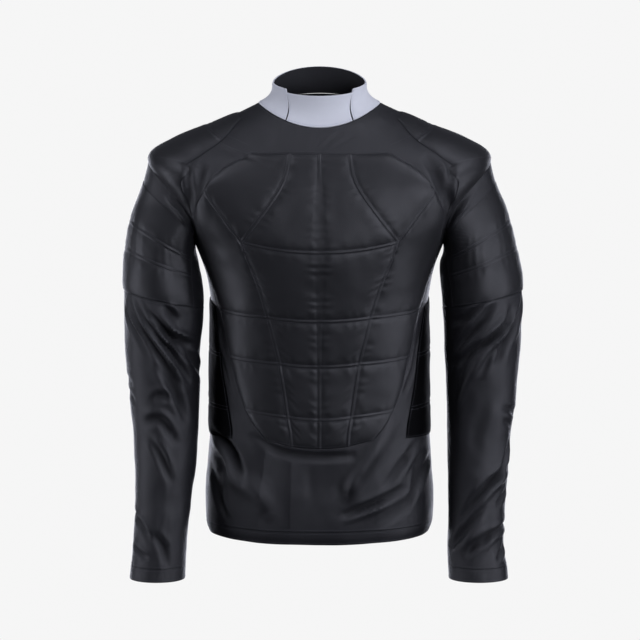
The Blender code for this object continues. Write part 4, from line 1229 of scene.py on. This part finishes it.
def collar_top(angle, part):
    if part == "front":
        share = (angle / SLIT_TOP) ** 2
        return COLLAR_TOPS["front"] + (COLLAR_TOPS["front_end"] - COLLAR_TOPS["front"]) * share
    turned = np.minimum(np.abs(angle), 360.0 - np.abs(angle))
    share = (turned - SLIT_TOP) / (90.0 - SLIT_TOP)
    forward = COLLAR_TOPS["slit"] + (COLLAR_TOPS["side"] - COLLAR_TOPS["slit"]) * share
    rise = np.sin(np.clip(np.radians(turned - 90.0), 0.0, math.pi / 2)) ** COLLAR_RISE
    behind = COLLAR_TOPS["side"] + (COLLAR_TOPS["back"] - COLLAR_TOPS["side"]) * rise
    return np.where(turned < 90.0, forward, behind)


def collar_surface(part):
    shares = np.linspace(0.0, 1.0, COLLAR_ROWS + 1)
    columns = np.linspace(0.0, 1.0, COLLAR_COLUMNS[part] + 1)
    slit = SLIT_FOOT + (SLIT_TOP - SLIT_FOOT) * shares
    slit += SLIT_GAP if part == "back" else -SLIT_GAP
    start, turn = (-slit, 2 * slit) if part == "front" else (slit, 360.0 - 2 * slit)
    angles = start[:, None] + turn[:, None] * columns
    share = np.broadcast_to(shares[:, None], angles.shape)

    def point_at(angle, height):
        return collar_point(angle, height, collar_top(angle, part))

    inside = np.clip(share, RING_STEP, 1 - RING_STEP)
    return Surface(shares, columns, point_at(angles, share),
                   -surface_normal(point_at, angles, inside))


def make_collar():
    pieces = {}
    rows = Stitching("collar_stitching", GREY_THREAD, COLLAR_STITCH)
    for part in ("front", "back"):
        surface = collar_surface(part)
        every = within((0.0, 1.0, -1.0, 2.0))
        pieces["collar_" + part] = panel(
            "collar_band_" + part, surface, every, -COLLAR_FABRIC, 0.0, COLLAR_KNIT, sink=SEAM_DRAW)
        rows.inside(surface, (0.0, 1.0), (0.0, 1.0))
        if part == "back":
            inside = -COLLAR_FABRIC - UNDER_PAD
            pieces["collar_lining"] = panel(
                "collar_inside", surface, every, inside - LINING, inside, COLLAR_LINING, PAD_MARGIN)
    pieces["collar_stitching"] = rows.piece()
    return pieces


# What shows of each cloth piece before it is sewn: its width and length as cut, in metres, and its
# flat area, then the pieces that it hangs from and the stitching on it
Cut = namedtuple("Cut", "width length area hangs_from carries")

pieces = {**make_torso(), **make_sleeve("left", 1), **make_sleeve("right", -1), **make_collar()}
for node, piece in pieces.items():
    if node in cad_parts:
        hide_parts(node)

def make_camera():
    data = bpy.data.cameras.new("camera")
    data.sensor_fit = "HORIZONTAL"
    data.angle = 2 * math.atan(VIEW_WIDTH / 2 / CAMERA_DISTANCE)
    camera = placed("camera", data)
    lift = math.radians(CAMERA_HEIGHT)
    camera.location = LOOK_AT + CAMERA_DISTANCE * Vector((0.0, -math.cos(lift), math.sin(lift)))
    camera.rotation_euler = (math.radians(90.0) - lift, 0.0, 0.0)
    bpy.context.scene.camera = camera


def make_light(light):
    data = bpy.data.lights.new(light.name, "AREA")
    data.shape = "RECTANGLE"
    data.size, data.size_y = light.width, light.tall
    data.energy = light.power
    data.color = LIGHT_COLOUR
    lamp = placed(light.name, data)
    turn, lift = math.radians(light.azimuth), math.radians(light.height)
    level = math.cos(lift)
    way = Vector((math.sin(turn) * level, -math.cos(turn) * level, math.sin(lift)))
    lamp.location = LOOK_AT + light.distance * way
    lamp.rotation_euler = (-way).to_track_quat("-Z", "Y").to_euler()
    lamp.visible_camera = False


def glow(name, level):
    """A surface that the camera sees as one even tone and that lights nothing."""
    material = bpy.data.materials.new(name)
    material.use_nodes = True
    shader = material.node_tree.nodes["Principled BSDF"]
    shader.inputs["Base Color"].default_value = (0.0, 0.0, 0.0, 1.0)
    shader.inputs["Roughness"].default_value = 1.0
    shader.inputs["Specular IOR Level"].default_value = 0.0
    shader.inputs["Emission Color"].default_value = (1.0, 1.0, 1.0, 1.0)
    shader.inputs["Emission Strength"].default_value = level
    return material


def make_studio():
    material = glow("pale_paper", PAPER)
    floor, walls = bmesh.new(), bmesh.new()
    bmesh.ops.create_circle(floor, cap_ends=True, segments=ROOM_SEGMENTS, radius=ROOM_RADIUS)
    bmesh.ops.translate(floor, verts=floor.verts, vec=(0.0, 0.0, FLOOR_Z))
    bmesh.ops.create_uvsphere(walls, u_segments=ROOM_SEGMENTS, v_segments=ROOM_SEGMENTS // 2,
                              radius=ROOM_RADIUS)
    bmesh.ops.reverse_faces(walls, faces=walls.faces)
    for name, bm in (("studio_floor", floor), ("studio_walls", walls)):
        mesh = bpy.data.meshes.new(name)
        bm.to_mesh(mesh)
        bm.free()
        mesh.materials.append(material)
        paper = placed(name, mesh)
        for way in ("diffuse", "glossy", "transmission", "volume_scatter", "shadow"):
            setattr(paper, "visible_" + way, False)
    for light in LIGHTS:
        make_light(light)
    world = bpy.data.worlds.new("studio")
    world.use_nodes = True
    world.node_tree.nodes["Background"].inputs["Color"].default_value = (*LIGHT_COLOUR, 1.0)
    world.node_tree.nodes["Background"].inputs["Strength"].default_value = WORLD
    bpy.context.scene.world = world
    bpy.context.scene.view_settings.view_transform = "Standard"


make_camera()
make_studio()
